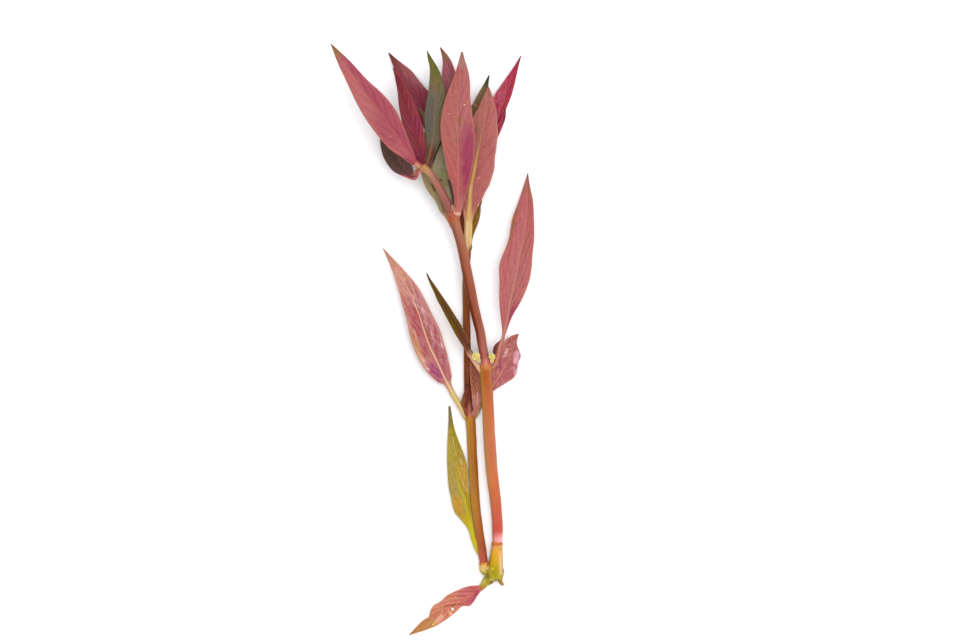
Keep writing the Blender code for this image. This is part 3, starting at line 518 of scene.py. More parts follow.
        patches=[((166, 100, 92), (0.62, -0.5), (0.2, 0.6), 0.6)],
        marks=[((214, 184, 108), (13, 51), (12.3, 34.7), 0.6, 0.7),
               ((214, 178, 108), (14.6, 59.5), (12.8, 49.5), 0.4, 0.55),
               # Painted highlight: a pale stripe along the stalk
               ((248, 212, 184), (11.9, 39.3), (11.6, 30), 0.26, 0.85),
               ((204, 146, 118), (10.8, 42.7), (10.9, 32), 0.38, 0.75),
               ((242, 210, 164), (15.7, 45.3), (14, 41), 0.16, 0.8),
               # Painted highlight: a small white glint
               ((236, 200, 184), (15, 53.7), (16, 54.2), 0.12, 0.5)]),
    "back_upper_leaf_rear": dict(
        left=(142, 106, 50), right=(146, 110, 50), margin=(162, 128, 74), tip=(110, 86, 50),
        base=(146, 112, 54), rib=(164, 132, 80), vein=(126, 96, 54)),
    "back_top_leaf_middle": dict(
        left=(164, 96, 104), right=(160, 92, 104), margin=(168, 112, 106), tip=(146, 106, 86),
        tip_from=0.88, base=(130, 70, 78), rib=(156, 98, 98), vein=(128, 64, 76)),
    "back_top_leaf_right": dict(
        left=(130, 108, 82), right=(122, 98, 76), margin=(128, 108, 86), tip=(82, 84, 42), tip_from=0.88,
        base=(184, 132, 104), base_to=0.62, rib=(144, 116, 90), vein=(104, 80, 62),
        marks=[((202, 138, 106), (14, 78.7), (15, 78), 0.28, 0.85)]),
    "back_top_leaf_far_right": dict(
        left=(184, 48, 88), right=(178, 34, 80), margin=(186, 78, 102), tip=(172, 76, 82),
        base=(168, 26, 82), base_to=0.56, rib=(150, 34, 66), vein=(134, 28, 58), gloss=0.25,
        patches=[((174, 60, 84), (0.72, -0.5), (0.14, 0.6), 0.6)],
        # Painted shade in a fold of the blade
        marks=[((132, 26, 58), (26, 88), (23, 74), 0.16, 0.5),
               ((112, 26, 48), (24.3, 77.3), (24, 73.3), 0.4, 0.7)]),
    "back_top_leaf_left": dict(
        left=(150, 76, 88), right=(160, 94, 98), margin=(160, 96, 90), tip=(130, 80, 74), tip_from=0.89,
        base=(128, 50, 68), rib=(124, 42, 64), vein=(118, 48, 66),
        patches=[((142, 44, 78), (0.58, 0.3), (0.16, 0.8), 0.7)],
        marks=[((130, 34, 66), (-8, 84), (-2.3, 77.3), 0.28, 0.6)]),
    "base_leaf": dict(
        left=(212, 128, 98), right=(210, 128, 104), margin=(214, 150, 112), tip=(196, 138, 80),
        tip_from=0.66, base=(198, 102, 100), base_to=0.3, rib=(206, 122, 102), vein=(182, 90, 82),
        specks=((238, 196, 180), 0.5), gloss=0.35,
        patches=[((200, 128, 84), (0.58, 0.4), (0.14, 0.6), 0.6)],
        marks=[((164, 78, 48), (4.3, -88.9), (10.3, -88.2), 0.4, 0.8),
               ((232, 196, 60), (0.33, -95), (0.4, -95), 0.4, 0.8),
               ((238, 190, 168), (3.2, -92.5), (1.4, -94.2), 0.8, 0.5),
               ((240, 194, 164), (5.9, -90.9), (6.5, -91.9), 0.6, 0.45),
               ((176, 70, 100), (12.7, -88), (15.3, -84), 0.55, 0.7)]),
}

# Each stem: rings where a node swells, as (y, growth in mm, reach in mm), places along its axis, the radius
# at each, marks as on the leaves, and its colours, as (y, left side, middle, right side)
STEMS = {
    "front_stem": dict(
        rings=[(-8.9, 0.1, 0.9), (40.6, 0.18, 1.2), (57.2, 0.15, 1.4)],
        route=[(21.8, -67.8, 2.6), (21.8, -66.6, 2.65), (21.8, -61.7, 2.8), (21.3, -55, 3.1),
               (20.5, -48.7, 3.5), (19.9, -43.3, 3.9), (19.4, -36.7, 4.4), (19, -30, 4.9), (18.5, -20, 5.8),
               (18, -12, 6.6), (17.9, -8.8, 6.9), (17.85, -8.1, 7), (17.8, -7, 7.1), (16.9, -2.3, 7.5),
               (16, 3, 8), (14.45, 9.3, 8.6), (12.25, 20, 9.7), (9.95, 31, 10.9), (8.4, 36.5, 11.5),
               (7, 41, 12), (4.1, 47.3, 13.6), (1.8, 51.7, 15), (-1, 55.7, 16.4), (-3.3, 57.6, 17.1)],
        radius=[1.62, 1.66, 1.75, 1.8, 1.9, 1.93, 1.98, 1.95, 1.93, 1.95, 1.95, 1.6, 1.52, 1.53, 1.55, 1.57,
                1.65, 1.6, 1.6, 1.68, 1.36, 1.2, 1.15, 1.3],
        marks=[((178, 84, 60), (5.9, 41), (6.6, 39.9), 0.45, 0.7),
               # Painted shade: a dark line under the foot of the leaf above the node
               ((120, 56, 40), (7.3, 41.8), (8.7, 41.5), 0.15, 0.7),
               ((176, 124, 70), (8, 40.7), (8.7, 37.3), 0.4, 0.6)],
        # The pale first row, at the cut end, is the stem's own pink with a painted highlight on it
        colours=[(-66.5, (228, 146, 130), (242, 162, 162), (246, 178, 176)),
                 (-63.8, (204, 99, 82), (202, 87, 72), (202, 95, 86)),
                 (-45, (200, 141, 88), (203, 116, 71), (199, 116, 83)),
                 (-34, (193, 136, 85), (201, 118, 77), (201, 122, 87)),
                 (-20, (189, 130, 71), (192, 104, 63), (192, 111, 79)),
                 (-10.5, (176, 126, 57), (173, 85, 41), (180, 120, 73)),
                 # These two rows, just above the node, are its own pink base with a painted highlight on it
                 (-8.7, (206, 129, 76), (214, 139, 86), (204, 127, 80)),
                 (-7.6, (206, 116, 96), (216, 130, 116), (206, 116, 102)),
                 (-5.5, (158, 83, 72), (170, 99, 88), (168, 101, 88)),
                 (-1, (136, 68, 54), (166, 98, 82), (170, 106, 90)),
                 (6, (110, 47, 34), (148, 81, 62), (156, 93, 74)),
                 (24, (127, 67, 47), (158, 91, 68), (168, 105, 84)),
                 (38, (152, 93, 74), (168, 107, 86), (176, 115, 98)),
                 (41, (178, 99, 72), (176, 91, 66), (168, 91, 72)),
                 (43.5, (152, 99, 76), (158, 95, 88), (152, 83, 86)),
                 (54, (168, 117, 88), (170, 115, 104), (164, 93, 90)),
                 (57.5, (192, 153, 104), (196, 157, 112), (188, 137, 104))]),
    "back_stem": dict(
        rings=[(-26, 0.1, 0.8), (29, 0.1, 1.4), (52.4, 0.2, 1.2)],
        route=[(17.35, -74.5, 2.2), (17.05, -73.2, 2.15), (16.35, -68, 1.9), (15.35, -61.5, 1.7),
               (14.45, -54.3, 1.66), (13.6, -40.5, 1.68), (12.95, -28.5, 1.84), (12.7, -25.5, 1.9),
               (12.3, -22, 1.9), (11.9, -16, 2), (11.8, -5.3, 2.2), (11.5, 7.3, 2.5), (11.3, 20, 3),
               (11.7, 25, 3.4), (11.7, 30, 3.8), (10.6, 36, 4.1), (9.9, 41, 4.4), (9.6, 46, 4.7),
               (10, 53, 5)],
        radius=[1.38, 1.4, 1.4, 1.42, 1.5, 1.53, 1.6, 1.52, 1.2, 1.2, 1.2, 1.2, 1.15, 1.05, 1.1, 1.1, 1.15,
                1.1, 1.05],
        colours=[(-73.8, (200, 107, 96), (186, 88, 72), (160, 77, 54)),
                 (-69, (180, 104, 71), (166, 86, 53), (157, 83, 52)),
                 (-56, (193, 144, 72), (177, 116, 49), (167, 110, 47)),
                 (-40, (185, 135, 58), (169, 107, 46), (151, 87, 38)),
                 (-28, (187, 146, 61), (175, 114, 49), (163, 104, 49)),
                 (-25.9, (186, 124, 60), (190, 124, 56), (156, 96, 44)),
                 (-24.6, (160, 84, 70), (182, 108, 96), (150, 78, 66)),
                 (-20.5, (136, 78, 52), (152, 88, 60), (122, 62, 38)),
                 (-16, (112, 62, 44), (110, 56, 34), (100, 48, 26)),
                 (-8, (132, 76, 50), (128, 64, 34), (122, 60, 32)),
                 (12, (148, 92, 60), (140, 78, 44), (128, 66, 38)),
                 (27, (172, 104, 68), (169, 95, 62), (151, 83, 54)),
                 # From y 33 up it is its own dark red-brown, darkened further by painted shade where the
                 # other stem and the leaves lie over it
                 (33, (140, 74, 48), (125, 60, 38), (112, 52, 34)),
                 (53, (140, 74, 50), (130, 64, 44), (120, 58, 40))]),
}

# The piece of old stem at the base: its arms, and its marks
FORK_ARMS = [
    dict(
        route=[(21.75, -67.5, 2.6), (21.55, -71, 2.55), (21.35, -75, 2.6), (21.35, -78.4, 2.75),
               (21.3, -80, 2.65)], radius=[1.76, 2.05, 2.4, 2.7, 2.45]),
    dict(
        route=[(17.35, -74.2, 2.2), (17.4, -76, 2.2), (17.9, -77.1, 2.2), (19.6, -77.8, 2.2)],
        radius=[1.5, 1.6, 1.55, 1.4]),
    dict(
        route=[(20.4, -78, 2.1), (18.8, -79.8, 2), (17.5, -81.3, 1.8), (16.7, -82.6, 1.6),
               (16.2, -83.4, 1.5)], radius=[1.5, 1.5, 1.25, 0.85, 0.45]),
    dict(
        route=[(20.6, -79.4, 2), (19.4, -80.7, 1.8), (18.5, -81.5, 1.7)], radius=[1.4, 1, 0.6]),
    dict(
        route=[(22, -79, 2.6), (22.6, -80.2, 2.6), (23.2, -81, 2.8), (23.85, -81.8, 3.1)],
        radius=[0.8, 0.6, 0.52, 0.42]),
]
# The first mark is a painted highlight on the green flesh
FORK_MARKS = [((222, 214, 40), (20.2, -76.3), (20.3, -76.3), 0.5, 0.8),
              ((110, 110, 10), (18.3, -77), (18.7, -79), 0.4, 0.7),
              ((228, 192, 136), (16.7, -75.5), (17.3, -77.3), 0.35, 0.8),
              # Painted highlights down the right side of the stub
              ((240, 196, 140), (22.75, -71), (22.95, -78.2), 0.75, 0.4),
              ((246, 206, 160), (23, -72.6), (23.1, -77.5), 0.42, 0.55),
              ((190, 124, 88), (23.6, -69.5), (23.85, -78), 0.35, 0.6),
              ((150, 150, 104), (23.4, -79), (23.9, -79.5), 0.35, 0.7),
              ((192, 152, 62), (22.8, -80.5), (23.9, -82), 0.5, 0.8),
              ((170, 120, 60), (18.9, -76.2), (18.9, -78.6), 0.2, 0.7),
              ((210, 200, 110), (19.5, -79.8), (20.7, -80.5), 0.35, 0.8),
              ((224, 204, 110), (17.8, -80.1), (16.7, -81.4), 0.4, 0.6),
              ((196, 120, 60), (16.9, -82.6), (16.3, -83.3), 0.45, 0.8)]

# Its colours from end to end, right and left of the seam between them. The dark browns at the lower end of
# the right side are painted shade on the underside of the torn end.
FORK_ENDS = (-83, -67)
FORK_RIGHT = [(-81.6, (120, 84, 40)), (-80.4, (140, 110, 30)), (-79.8, (190, 172, 70)),
              (-79, (180, 164, 20)), (-77, (174, 154, 10)), (-75, (192, 162, 14)), (-73.5, (212, 166, 44)),
              (-71, (222, 166, 56)), (-69.5, (226, 164, 90)), (-68.9, (226, 156, 104)),
              (-68.2, (196, 104, 44)), (-67.4, (212, 130, 80))]
FORK_LEFT = [(-83, (176, 150, 66)), (-81, (186, 168, 64)), (-79, (150, 140, 24)), (-77.5, (206, 180, 84)),
             (-76, (226, 190, 116)), (-75.1, (212, 150, 70)), (-74.4, (178, 92, 26))]
FORK_SEAM = (18.7, 19.9)

# Its form, from the middle of the cutting: rings as (y, height, reach), where the tissue is torn, lumps as
# (seed, height, size, share of the height where it is whole), and how fine and how soft its skin is
FORK_MIDDLE = 19.3
RIGHT_RINGS = [(-68.2, 0.16, 0.45), (-69.2, -0.10, 0.3)]
LEFT_RINGS = [(-74.9, 0.14, 0.35)]
LEFT_RINGS_FROM = -76
TORN = (-78, -73.5)
FORK_LUMPS = [(31, 0.13, 2.4, 0.2), (32, 0.07, 0.9, 0.15)]
FORK_LEAST_HEIGHT = 0.02
FORK_GRAIN = 0.12
FORK_SOFTENING = (8, 0.5)

# Each flower head: its balls of petals, as (middle, radius), and the colours of petal tips and feet. A
# petal's measures are shares of its ball's radius, and thicknesses are in mm.
FLOWER_HEADS = {
    "flower_head_left": dict(balls=[((14.7, -5.5, 8.7), 1.3), ((15.6, -6.8, 9), 0.65)],
                             pale=(252, 240, 164), deep=(232, 206, 100)),
    "flower_head_right": dict(balls=[((20, -5.6, 9), 1.05), ((20, -7, 9.2), 0.65)],
                              pale=(250, 236, 156), deep=(230, 202, 94)),
}
OPEN_RADIUS = 1
OPEN_PETALS = 90
YOUNG_PETALS = 40
YOUNG_SHARE = 0.75
PETAL_GRID = (6, 5)
PETAL_LENGTHS = (0.55, 0.75)
PETAL_WIDTH = 0.20
PETAL_LEAN = (0.3, 0.2, 0.9)
PETAL_FOOT = 0.45
PETAL_THICKNESS = 0.05
CORE_RADIUS = 0.72

BUD_PLACE = (6.8, 43.8, 15)
BUD_HALF_LENGTH = 1.2
BUD_RADIUS = 0.5
BUD_SCALES = 9
BUD_TURN = 2.4
BUD_GRID = (8, 7)
BUD_SCALE_WIDTH = 0.34
BUD_THICKNESS = 0.06
BUD_PALE = (206, 164, 137)
BUD_DEEP = (176, 125, 90)


# Shader nodes

class Shader:
    """A new material's nodes, with short calls for the few kinds that the plant needs"""

    def __init__(self, name, gloss=GLOSS_SHARE):
        self.gloss = gloss
        self.material = bpy.data.materials.new(name)
        self.material.use_nodes = True
        self.tree = self.material.node_tree
        self.surface = self.tree.nodes["Principled BSDF"]

    def put(self, socket, value):
        """Sets an input, or links it where the value is another node's output"""
        if isinstance(value, bpy.types.NodeSocket):
            self.tree.links.new(value, socket)
        else:
            socket.default_value = value

    def node(self, kind, inputs, **settings):
        """A new node with its settings, and its inputs set or linked"""
        item = self.tree.nodes.new("ShaderNode" + kind)
        for name, value in settings.items():
            setattr(item, name, value)
        for name, value in inputs.items():
            self.put(item.inputs[name], value)
        return item

    def attribute(self, name, output="Fac"):
        return self.node("Attribute", {}, attribute_name=name).outputs[output]

    def place(self):
        return self.node("TexCoord", {}).outputs["Object"]

    def noise(self, pattern, vector=None, lift=0, output="Fac"):
        scale, detail, roughness = PATTERNS[pattern]
        inputs = {"Vector": vector or self.place(), "W": lift, "Scale": scale, "Detail": detail,
                  "Roughness": roughness}
        return self.node("TexNoise", inputs, noise_dimensions="4D").outputs[output]

    def cells(self, scale, feature="F1", output="Distance"):
        inputs = {"Vector": self.place(), "Scale": scale}
        return self.node("TexVoronoi", inputs, feature=feature).outputs[output]

    def sum(self, kind, first, second, clamp=False):
        return self.node("Math", {0: first, 1: second}, operation=kind, use_clamp=clamp).outputs[0]

    def times(self, first, second):
        return self.sum("MULTIPLY", first, second)

    def strayed(self, value, pattern, share):
        """The value, moved up or down by a share of the pattern"""
        return self.sum("ADD", value, self.times(self.sum("SUBTRACT", pattern, 0.5), share))

    def step(self, value, low, high, out_low=0, out_high=1):
        """A smooth step from out_low to out_high as the value goes from low to high"""
        if low > high:
            low, high, out_low, out_high = high, low, out_high, out_low
        inputs = {"Value": value, "From Min": low, "From Max": high, "To Min": out_low, "To Max": out_high}
        return self.node("MapRange", inputs, interpolation_type="SMOOTHSTEP").outputs["Result"]

    def mix(self, factor, first, second, kind="MIX"):
        inputs = {"Factor": factor, 6: paint(first, self.gloss), 7: paint(second, self.gloss)}
        return self.node("Mix", inputs, data_type="RGBA", blend_type=kind).outputs[2]

    def cloud(self, value, colour, cloud, kind="MIX"):
        """The colour under a cloud of another one, as thick as the value says"""
        tint, none, full, strength = cloud
        return self.mix(self.step(value, none, full, 0, strength), colour, tint, kind)

    def ramp(self, value, stops):
        item = self.node("ValToRGB", {"Fac": value})
        marks = item.color_ramp.elements
        while len(marks) < len(stops):
            marks.new(1)
        for mark, (at, colour) in zip(marks, stops):
            mark.position = at
            mark.color = paint(colour, self.gloss)
        return item.outputs["Color"]

    def vectors(self, kind, first, second=(0, 0, 0), third=(0, 0, 0)):
        inputs = {0: first, "Scale" if kind == "SCALE" else 1: second, 2: third}
        outputs = self.node("VectorMath", inputs, operation=kind).outputs
        return outputs["Value" if kind in ("DOT_PRODUCT", "LENGTH") else 0]

    def near(self, along, across, middle, reach):
        """1 in the middle of a patch on a blade, and 0 outside it"""
        where = self.node("CombineXYZ", {0: along, 1: across}).outputs[0]
        share = self.vectors("DIVIDE", self.vectors("SUBTRACT", where, (*middle, 0)), (*reach, 1))
        return self.step(self.vectors("LENGTH", share), *PATCH_EDGE)

    def marked(self, colour, marks, top):
        """The colour under strokes with soft ragged edges, that lie on the plant as it is seen from above"""
        if not marks:
            return colour
        ragged = self.vectors("MULTIPLY", self.noise("ragged", output="Color"), (RAGGED, RAGGED, 0))
        place = self.vectors("MULTIPLY_ADD", self.place(), (1 / MM, 1 / MM, 0), ragged)
        for tint, first, last, half, strength in marks:
            start = (first[0] - MIDDLE[0] + 0.5 * RAGGED, first[1] - MIDDLE[1] + 0.5 * RAGGED, 0)
            run = np.array((last[0] - first[0], last[1] - first[1], 0))
            away = self.vectors("SUBTRACT", place, start)
            share = self.vectors("DOT_PRODUCT", away, tuple(run / (run @ run)))
            share = self.sum("ADD", share, 0, clamp=True)
            off = self.vectors("SUBTRACT", away, self.vectors("SCALE", tuple(run), share))
            none, full = MARK_EDGE
            shown = self.step(self.vectors("LENGTH", off), half * none, half * full, 0, strength)
            colour = self.mix(self.times(shown, top), colour, tint)
        return colour

    def coat(self, weight, roughness):
        self.surface.inputs["Coat Weight"].default_value = weight
        self.surface.inputs["Coat Roughness"].default_value = roughness

    def finish(self, colour, roughness, height, soft, reach, depth, specular, relief, strength):
        """The surface's colour and gloss, the light that sinks into it, and its fine relief"""
        values = {"Base Color": colour, "Roughness": roughness, "Specular IOR Level": specular,
                  "Subsurface Weight": soft, "Subsurface Radius": reach, "Subsurface Scale": depth}
        for name, value in values.items():
            self.put(self.surface.inputs[name], value)
        bump = self.node("Bump", {"Height": height, "Distance": relief, "Strength": strength})
        self.put(self.surface.inputs["Normal"], bump.outputs["Normal"])
        return self.material


def paint(colour, gloss=GLOSS_SHARE):
    """A linear surface colour that shows as the given sRGB one in this light, under its own faint gloss"""
    if isinstance(colour, bpy.types.NodeSocket) or len(colour) == 4:
        return colour
    shares = [value / 255 for value in colour]
    linear = [s / 12.92 if s <= 0.04045 else ((s + 0.055) / 1.055) ** 2.4 for s in shares]
    return (*[max(value - gloss, 0.002) / LIGHT_LEVEL for value in linear], 1)


def leaf_ground(m, look, t, u):
    """The two halves of a blade, its base, tip and stalk, and the patches on it"""
    colour = m.mix(m.step(u, -HALVES_BLEND, HALVES_BLEND), look["left"], look["right"])
    begin, end = BASE_BLEND
    colour = m.mix(m.step(t, look["base_to"] + begin, look["base_to"] + end), colour, look["base"])
    begin, end = [look["tip_from"] + share * look["tip_blend"] for share in TIP_BLEND]
    colour = m.mix(m.step(t, begin, end), colour, look["tip"])
    if look["stalk"]:
        colour = m.mix(m.attribute("stalk"), colour, look["stalk"])
    for tint, middle, reach, strength in look["patches"]:
        colour = m.mix(m.times(m.near(t, u, middle, reach), strength), colour, tint)
    return colour


def leaf_margin(m, look, fields):
    """1 at the margins, as far along the blade as they are coloured, each side with its own strength"""
    inner = 1 - look["margin_width"]
    left = m.step(fields["across"], -inner, -1, 0, look["margins"][0])
    edge = m.sum("ADD", left, m.step(fields["across"], inner, 1, 0, look["margins"][1]))
    begin, end = look["margin_span"]
    begun = m.step(fields["along"], begin - MARGIN_BLEND, begin)
    return m.times(edge, m.times(begun, m.step(fields["along"], end, end - MARGIN_BLEND)))


def leaf_veins(m, look, colour, fields, mottle, net):
    """The net of veinlets, the side veins and the midrib over a blade's colour"""
    colour = m.mix(m.times(net, NET_SHARE), colour, look["vein"])
    colour = m.mix(m.times(fields["vein"], m.step(mottle, *VEIN_SHOWN)), colour, look["vein"])
    full, gone = look["rib_fade"]
    rib = m.times(fields["rib"], m.step(fields["along"], gone, full, look["rib_rest"], 1))
    return m.mix(m.times(rib, look["rib_strength"]), colour, look["rib"])


def leaf_specks(m, look, colour):
    """Small round specks in some of the cells of a blade"""
    tint, strength = look["specks"]
    dots = m.step(m.cells(SPECK_SCALE), *SPECK_EDGE, 0, strength)
    chosen = m.step(m.cells(SPECK_SCALE, output="Color"), *SPECK_CHOICE)
    return m.mix(m.times(dots, chosen), colour, tint)


def leaf_painted_glints(m, look, colour, t, across):
    """Painted highlights: pale streaks of gloss painted into the colour, running along the blade"""
    for middle, reach, strength in look["painted_glints"]:
        streak = m.step(m.noise("glint", vector=m.attribute("streak", "Vector")), *GLINT_EDGE)
        shine = m.times(m.near(t, across, middle, reach), streak)
        colour = m.mix(m.times(shine, strength), colour, GLINT_TINT)
    return colour


def leaf_finish(m, look, colour, mottle, grain, net):
    """The blade's gloss and coat, and its fine relief"""
    gloss = look["gloss"]
    rough = m.step(mottle, *LEAF_ROUGH_AT, *[dull - gloss * less for dull, less in LEAF_ROUGH])
    if gloss > COAT_FROM:
        m.coat(COAT_SHARE * gloss, COAT_ROUGHNESS)
    mottle_height, grain_height, net_height = LEAF_RELIEF
    height = m.sum("ADD", m.times(mottle, mottle_height), m.times(grain, grain_height))
    height = m.sum("SUBTRACT", height, m.times(net, net_height))
    body = dict(LEAF_BODY, specular=look["specular"], strength=LEAF_BODY["strength"] + GLOSS_RELIEF * gloss)
    return m.finish(colour, rough, height, **body)


def leaf_material(name, look, seed):
    """A blade: its ground, clouds, margins, veins, specks, marks and painted glints, and a duller underside
    """
    m = Shader(name)
    fields = {field: m.attribute(field) for field in ("along", "across", "vein", "rib", "under")}
    broad = m.sum("SUBTRACT", m.noise("broad", lift=seed), 0.5)
    mottle = m.noise("mottle", lift=seed + 0.5)
    t = m.sum("ADD", fields["along"], m.times(broad, LEAF_STRAY[0]))
    u = m.sum("ADD", fields["across"], m.times(broad, LEAF_STRAY[1]))
    colour = leaf_ground(m, look, t, u)
    colour = m.cloud(mottle, colour, LEAF_DARK, "MULTIPLY")
    colour = m.cloud(mottle, colour, LEAF_PALE, "SOFT_LIGHT")
    colour = m.mix(leaf_margin(m, look, fields), colour, look["margin"])
    net = m.step(m.cells(NET_SCALE, "DISTANCE_TO_EDGE"), NET_WIDTH, 0)
    colour = leaf_veins(m, look, colour, fields, mottle, net)
    if look["specks"]:
        colour = leaf_specks(m, look, colour)
    colour = m.marked(colour, look["marks"], m.sum("SUBTRACT", 1, fields["under"]))
    colour = leaf_painted_glints(m, look, colour, t, fields["across"])
    colour = m.mix(m.times(fields["under"], UNDER_SHARE), colour, UNDER_TINT)
    return leaf_finish(m, look, colour, mottle, m.noise("grain"), net)


def stem_material(name, stem, share_at):
    """A stem: three colours across it that change along it, some rows with painted shade or highlight,
    streaked
    """
    m = Shader(name, STEM_GLOSS)
    along, around = m.attribute("along"), m.attribute("across")
    streaks = m.noise("streaks", vector=m.attribute("grain", "Vector"))
    blotch = m.noise("blotch")
    t = m.strayed(along, blotch, STEM_STRAY[0])
    stops = [(share_at(y), tints) for y, *tints in stem["colours"]]
    left, middle, right = [m.ramp(t, [(at, tints[k]) for at, tints in stops]) for k in range(3)]
    u = m.strayed(around, streaks, STEM_STRAY[1])
    colour = m.mix(m.step(u, *STEM_LEFT), middle, left)
    colour = m.mix(m.step(u, *STEM_RIGHT), colour, right)
    colour = m.cloud(streaks, colour, STEM_DARK, "MULTIPLY")
    colour = m.cloud(streaks, colour, STEM_PALE)
    colour = m.mix(m.attribute("vein"), colour, SCAR_TINT)
    colour = m.marked(colour, stem.get("marks"), 1)
    rough = m.step(blotch, *STEM_ROUGH)
    return m.finish(colour, rough, m.sum("ADD", streaks, m.times(blotch, STEM_BLOTCHES)), **STEM_BODY)


def fork_material(name):
    """Old stem tissue: orange-brown scars at both rings, yellow flesh, green where it is torn, painted shade
    and highlights
    """
    m = Shader(name, STEM_GLOSS)
    place = m.node("SeparateXYZ", {0: m.place()}).outputs
    blotch = m.noise("torn")
    fine = m.noise("flesh")
    y = m.sum("DIVIDE", m.strayed(place[1], blotch, FORK_STRAY), MM)
    x = m.sum("DIVIDE", place[0], MM)
    low, high = FORK_ENDS
    share = m.sum("DIVIDE", m.sum("SUBTRACT", y, low - MIDDLE[1]), high - low, clamp=True)
    right, left = [m.ramp(share, [((at - low) / (high - low), tint) for at, tint in stops])
                   for stops in (FORK_RIGHT, FORK_LEFT)]
    colour = m.mix(m.step(x, *[at - MIDDLE[0] for at in FORK_SEAM]), left, right)
    colour = m.marked(colour, FORK_MARKS, 1)
    colour = m.cloud(blotch, colour, TORN_GREEN)
    colour = m.cloud(fine, colour, TORN_PALE)
    colour = m.cloud(fine, colour, TORN_DARK)
    rough = m.step(blotch, *FORK_ROUGH)
    return m.finish(colour, rough, m.sum("ADD", blotch, m.times(fine, FORK_FLESH)), **FORK_BODY)


def flower_material(name, pale, deep):
    """Papery petals, yellow in the middle of the head and paler at their tips"""
    m = Shader(name)
    tips = m.attribute("along")
    blotch = m.noise("papery")
    colour = m.mix(m.step(tips, *PETAL_BLEND), deep, pale)
    colour = m.cloud(blotch, colour, PETAL_DEEP)
    colour = m.mix(m.attribute("young"), colour, YOUNG_TINT)
    return m.finish(colour, PETAL_ROUGHNESS, blotch, **PETAL_BODY)


# Shapes

def smooth_path(points, samples=PATH_SAMPLES):
    """Evenly spaced rows on a smooth curve through the given rows"""
    rows = np.array(points, float)
    rows = np.vstack([2 * rows[0] - rows[1], rows, 2 * rows[-1] - rows[-2]])
    pieces = []
    for a, b, c, d in zip(rows, rows[1:], rows[2:], rows[3:]):
        t = np.linspace(0, 1, PATH_STEPS, endpoint=False)[:, None]
        bend = (2 * a - 5 * b + 4 * c - d) * t ** 2 + (3 * b - a - 3 * c + d) * t ** 3
        pieces.append(0.5 * (2 * b + (c - a) * t + bend))
    path = np.vstack([*pieces, rows[-2]])
    steps = np.linalg.norm(np.diff(path[:, :3], axis=0), axis=1)
    run = np.concatenate([[0], np.cumsum(steps)])
    even = np.linspace(0, run[-1], samples)
    return np.stack([np.interp(even, run, column) for column in path.T], axis=1), run[-1]


def curve_through(rows, t):
    """Values at t on a smooth curve through the few given rows of (t, value)"""
    at, value = rows.T
    slope = np.gradient(value, at)
    k = np.clip(np.searchsorted(at, t) - 1, 0, len(at) - 2)
    gap = at[k + 1] - at[k]
    s = (t - at[k]) / gap
    ends = value[k] * (1 + 2 * s) * (1 - s) ** 2 + value[k + 1] * s ** 2 * (3 - 2 * s)
    return ends + gap * s * (1 - s) * (slope[k] * (1 - s) - slope[k + 1] * s)


def unit(vectors):
    return vectors / np.linalg.norm(vectors, axis=-1, keepdims=True)


def axes(place):
    """The level direction to the right and the upward one, at each place of a path"""
    ahead = unit(np.gradient(place, axis=0))
    side = unit(np.cross(ahead, (0, 0, 1)))
    return side, np.cross(side, ahead)


def ease(low, high, value):
    """A smooth step from 0 to 1 as the value goes from low to high"""
    share = np.clip((value - low) / (high - low), 0, 1)
    return share * share * (3 - 2 * share)


def bell(value, reach):
    """1 where the value is 0, falling to none beyond the reach"""
    return np.exp(-(value / reach) ** 2)


def ripple(seed, x, y, size, count=14):
    """Soft random hills, about 1 high, on a plane in millimetres, with hills of the given size"""
    random = np.random.default_rng(seed)
    total = np.zeros(np.broadcast(x, y).shape)
    for _ in range(count):
        angle = random.uniform(0, TURN)
        rate = TURN / (size * random.uniform(0.6, 1.7))
        total += np.sin(rate * (x * math.cos(angle) + y * math.sin(angle)) + random.uniform(0, TURN))
    return total / math.sqrt(count)


def quads(index):
    """The four-sided faces of a grid of points, or of many grids"""
    corners = [index[..., :-1, :-1], index[..., :-1, 1:], index[..., 1:, 1:], index[..., 1:, :-1]]
    return np.stack(corners, axis=-1)


def add_object(name, mesh):
    piece = bpy.data.objects.new(name, mesh)
    bpy.context.scene.collection.objects.link(piece)
    return piece


def make_mesh(name, points, faces, material, **fields):
    """A mesh object from places in millimetres on the plant, with named values at its points"""
    mesh = bpy.data.meshes.new(name)
    mesh.from_pydata(((points - MIDDLE) * MM).tolist(), [], faces)
    for field, values in fields.items():
        vector = values.ndim == 2
        layer = mesh.attributes.new(field, "FLOAT_VECTOR" if vector else "FLOAT", "POINT")
        layer.data.foreach_set("vector" if vector else "value", values.astype(np.float32).ravel())
    mesh.materials.append(material)
    mesh.shade_smooth()
    mesh.validate()
    return add_object(name, mesh)


def settle(piece, node):
    """The piece rides on the plant in place of its node, whose own part is hidden"""
    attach(piece, "root")
    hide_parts(node)


# Leaves

def run_together(column):
    """A column of values, each softened into its neighbours"""
    padded = np.pad(column[:, 0], 2, mode="edge")
    return np.convolve(padded, SOFTEN, mode="valid")[:, None]


def taper(leaf, hand, t):
    """Half-width of one side of the blade at t along the leaf, without its stalk"""
    s = np.clip((t - leaf["stalk"]) / (1 - leaf["stalk"]), 0, 1)
    widest = leaf["widest"][hand]
    rise = np.sin(0.5 * math.pi * np.minimum(s / widest, 1)) ** leaf["base"][hand]
    fall = np.cos(0.5 * math.pi * np.clip((s - widest) / (1 - widest), 0, 1)) ** leaf["tip"][hand]
    return leaf["width"][hand] * np.where(s < widest, rise, np.abs(fall))


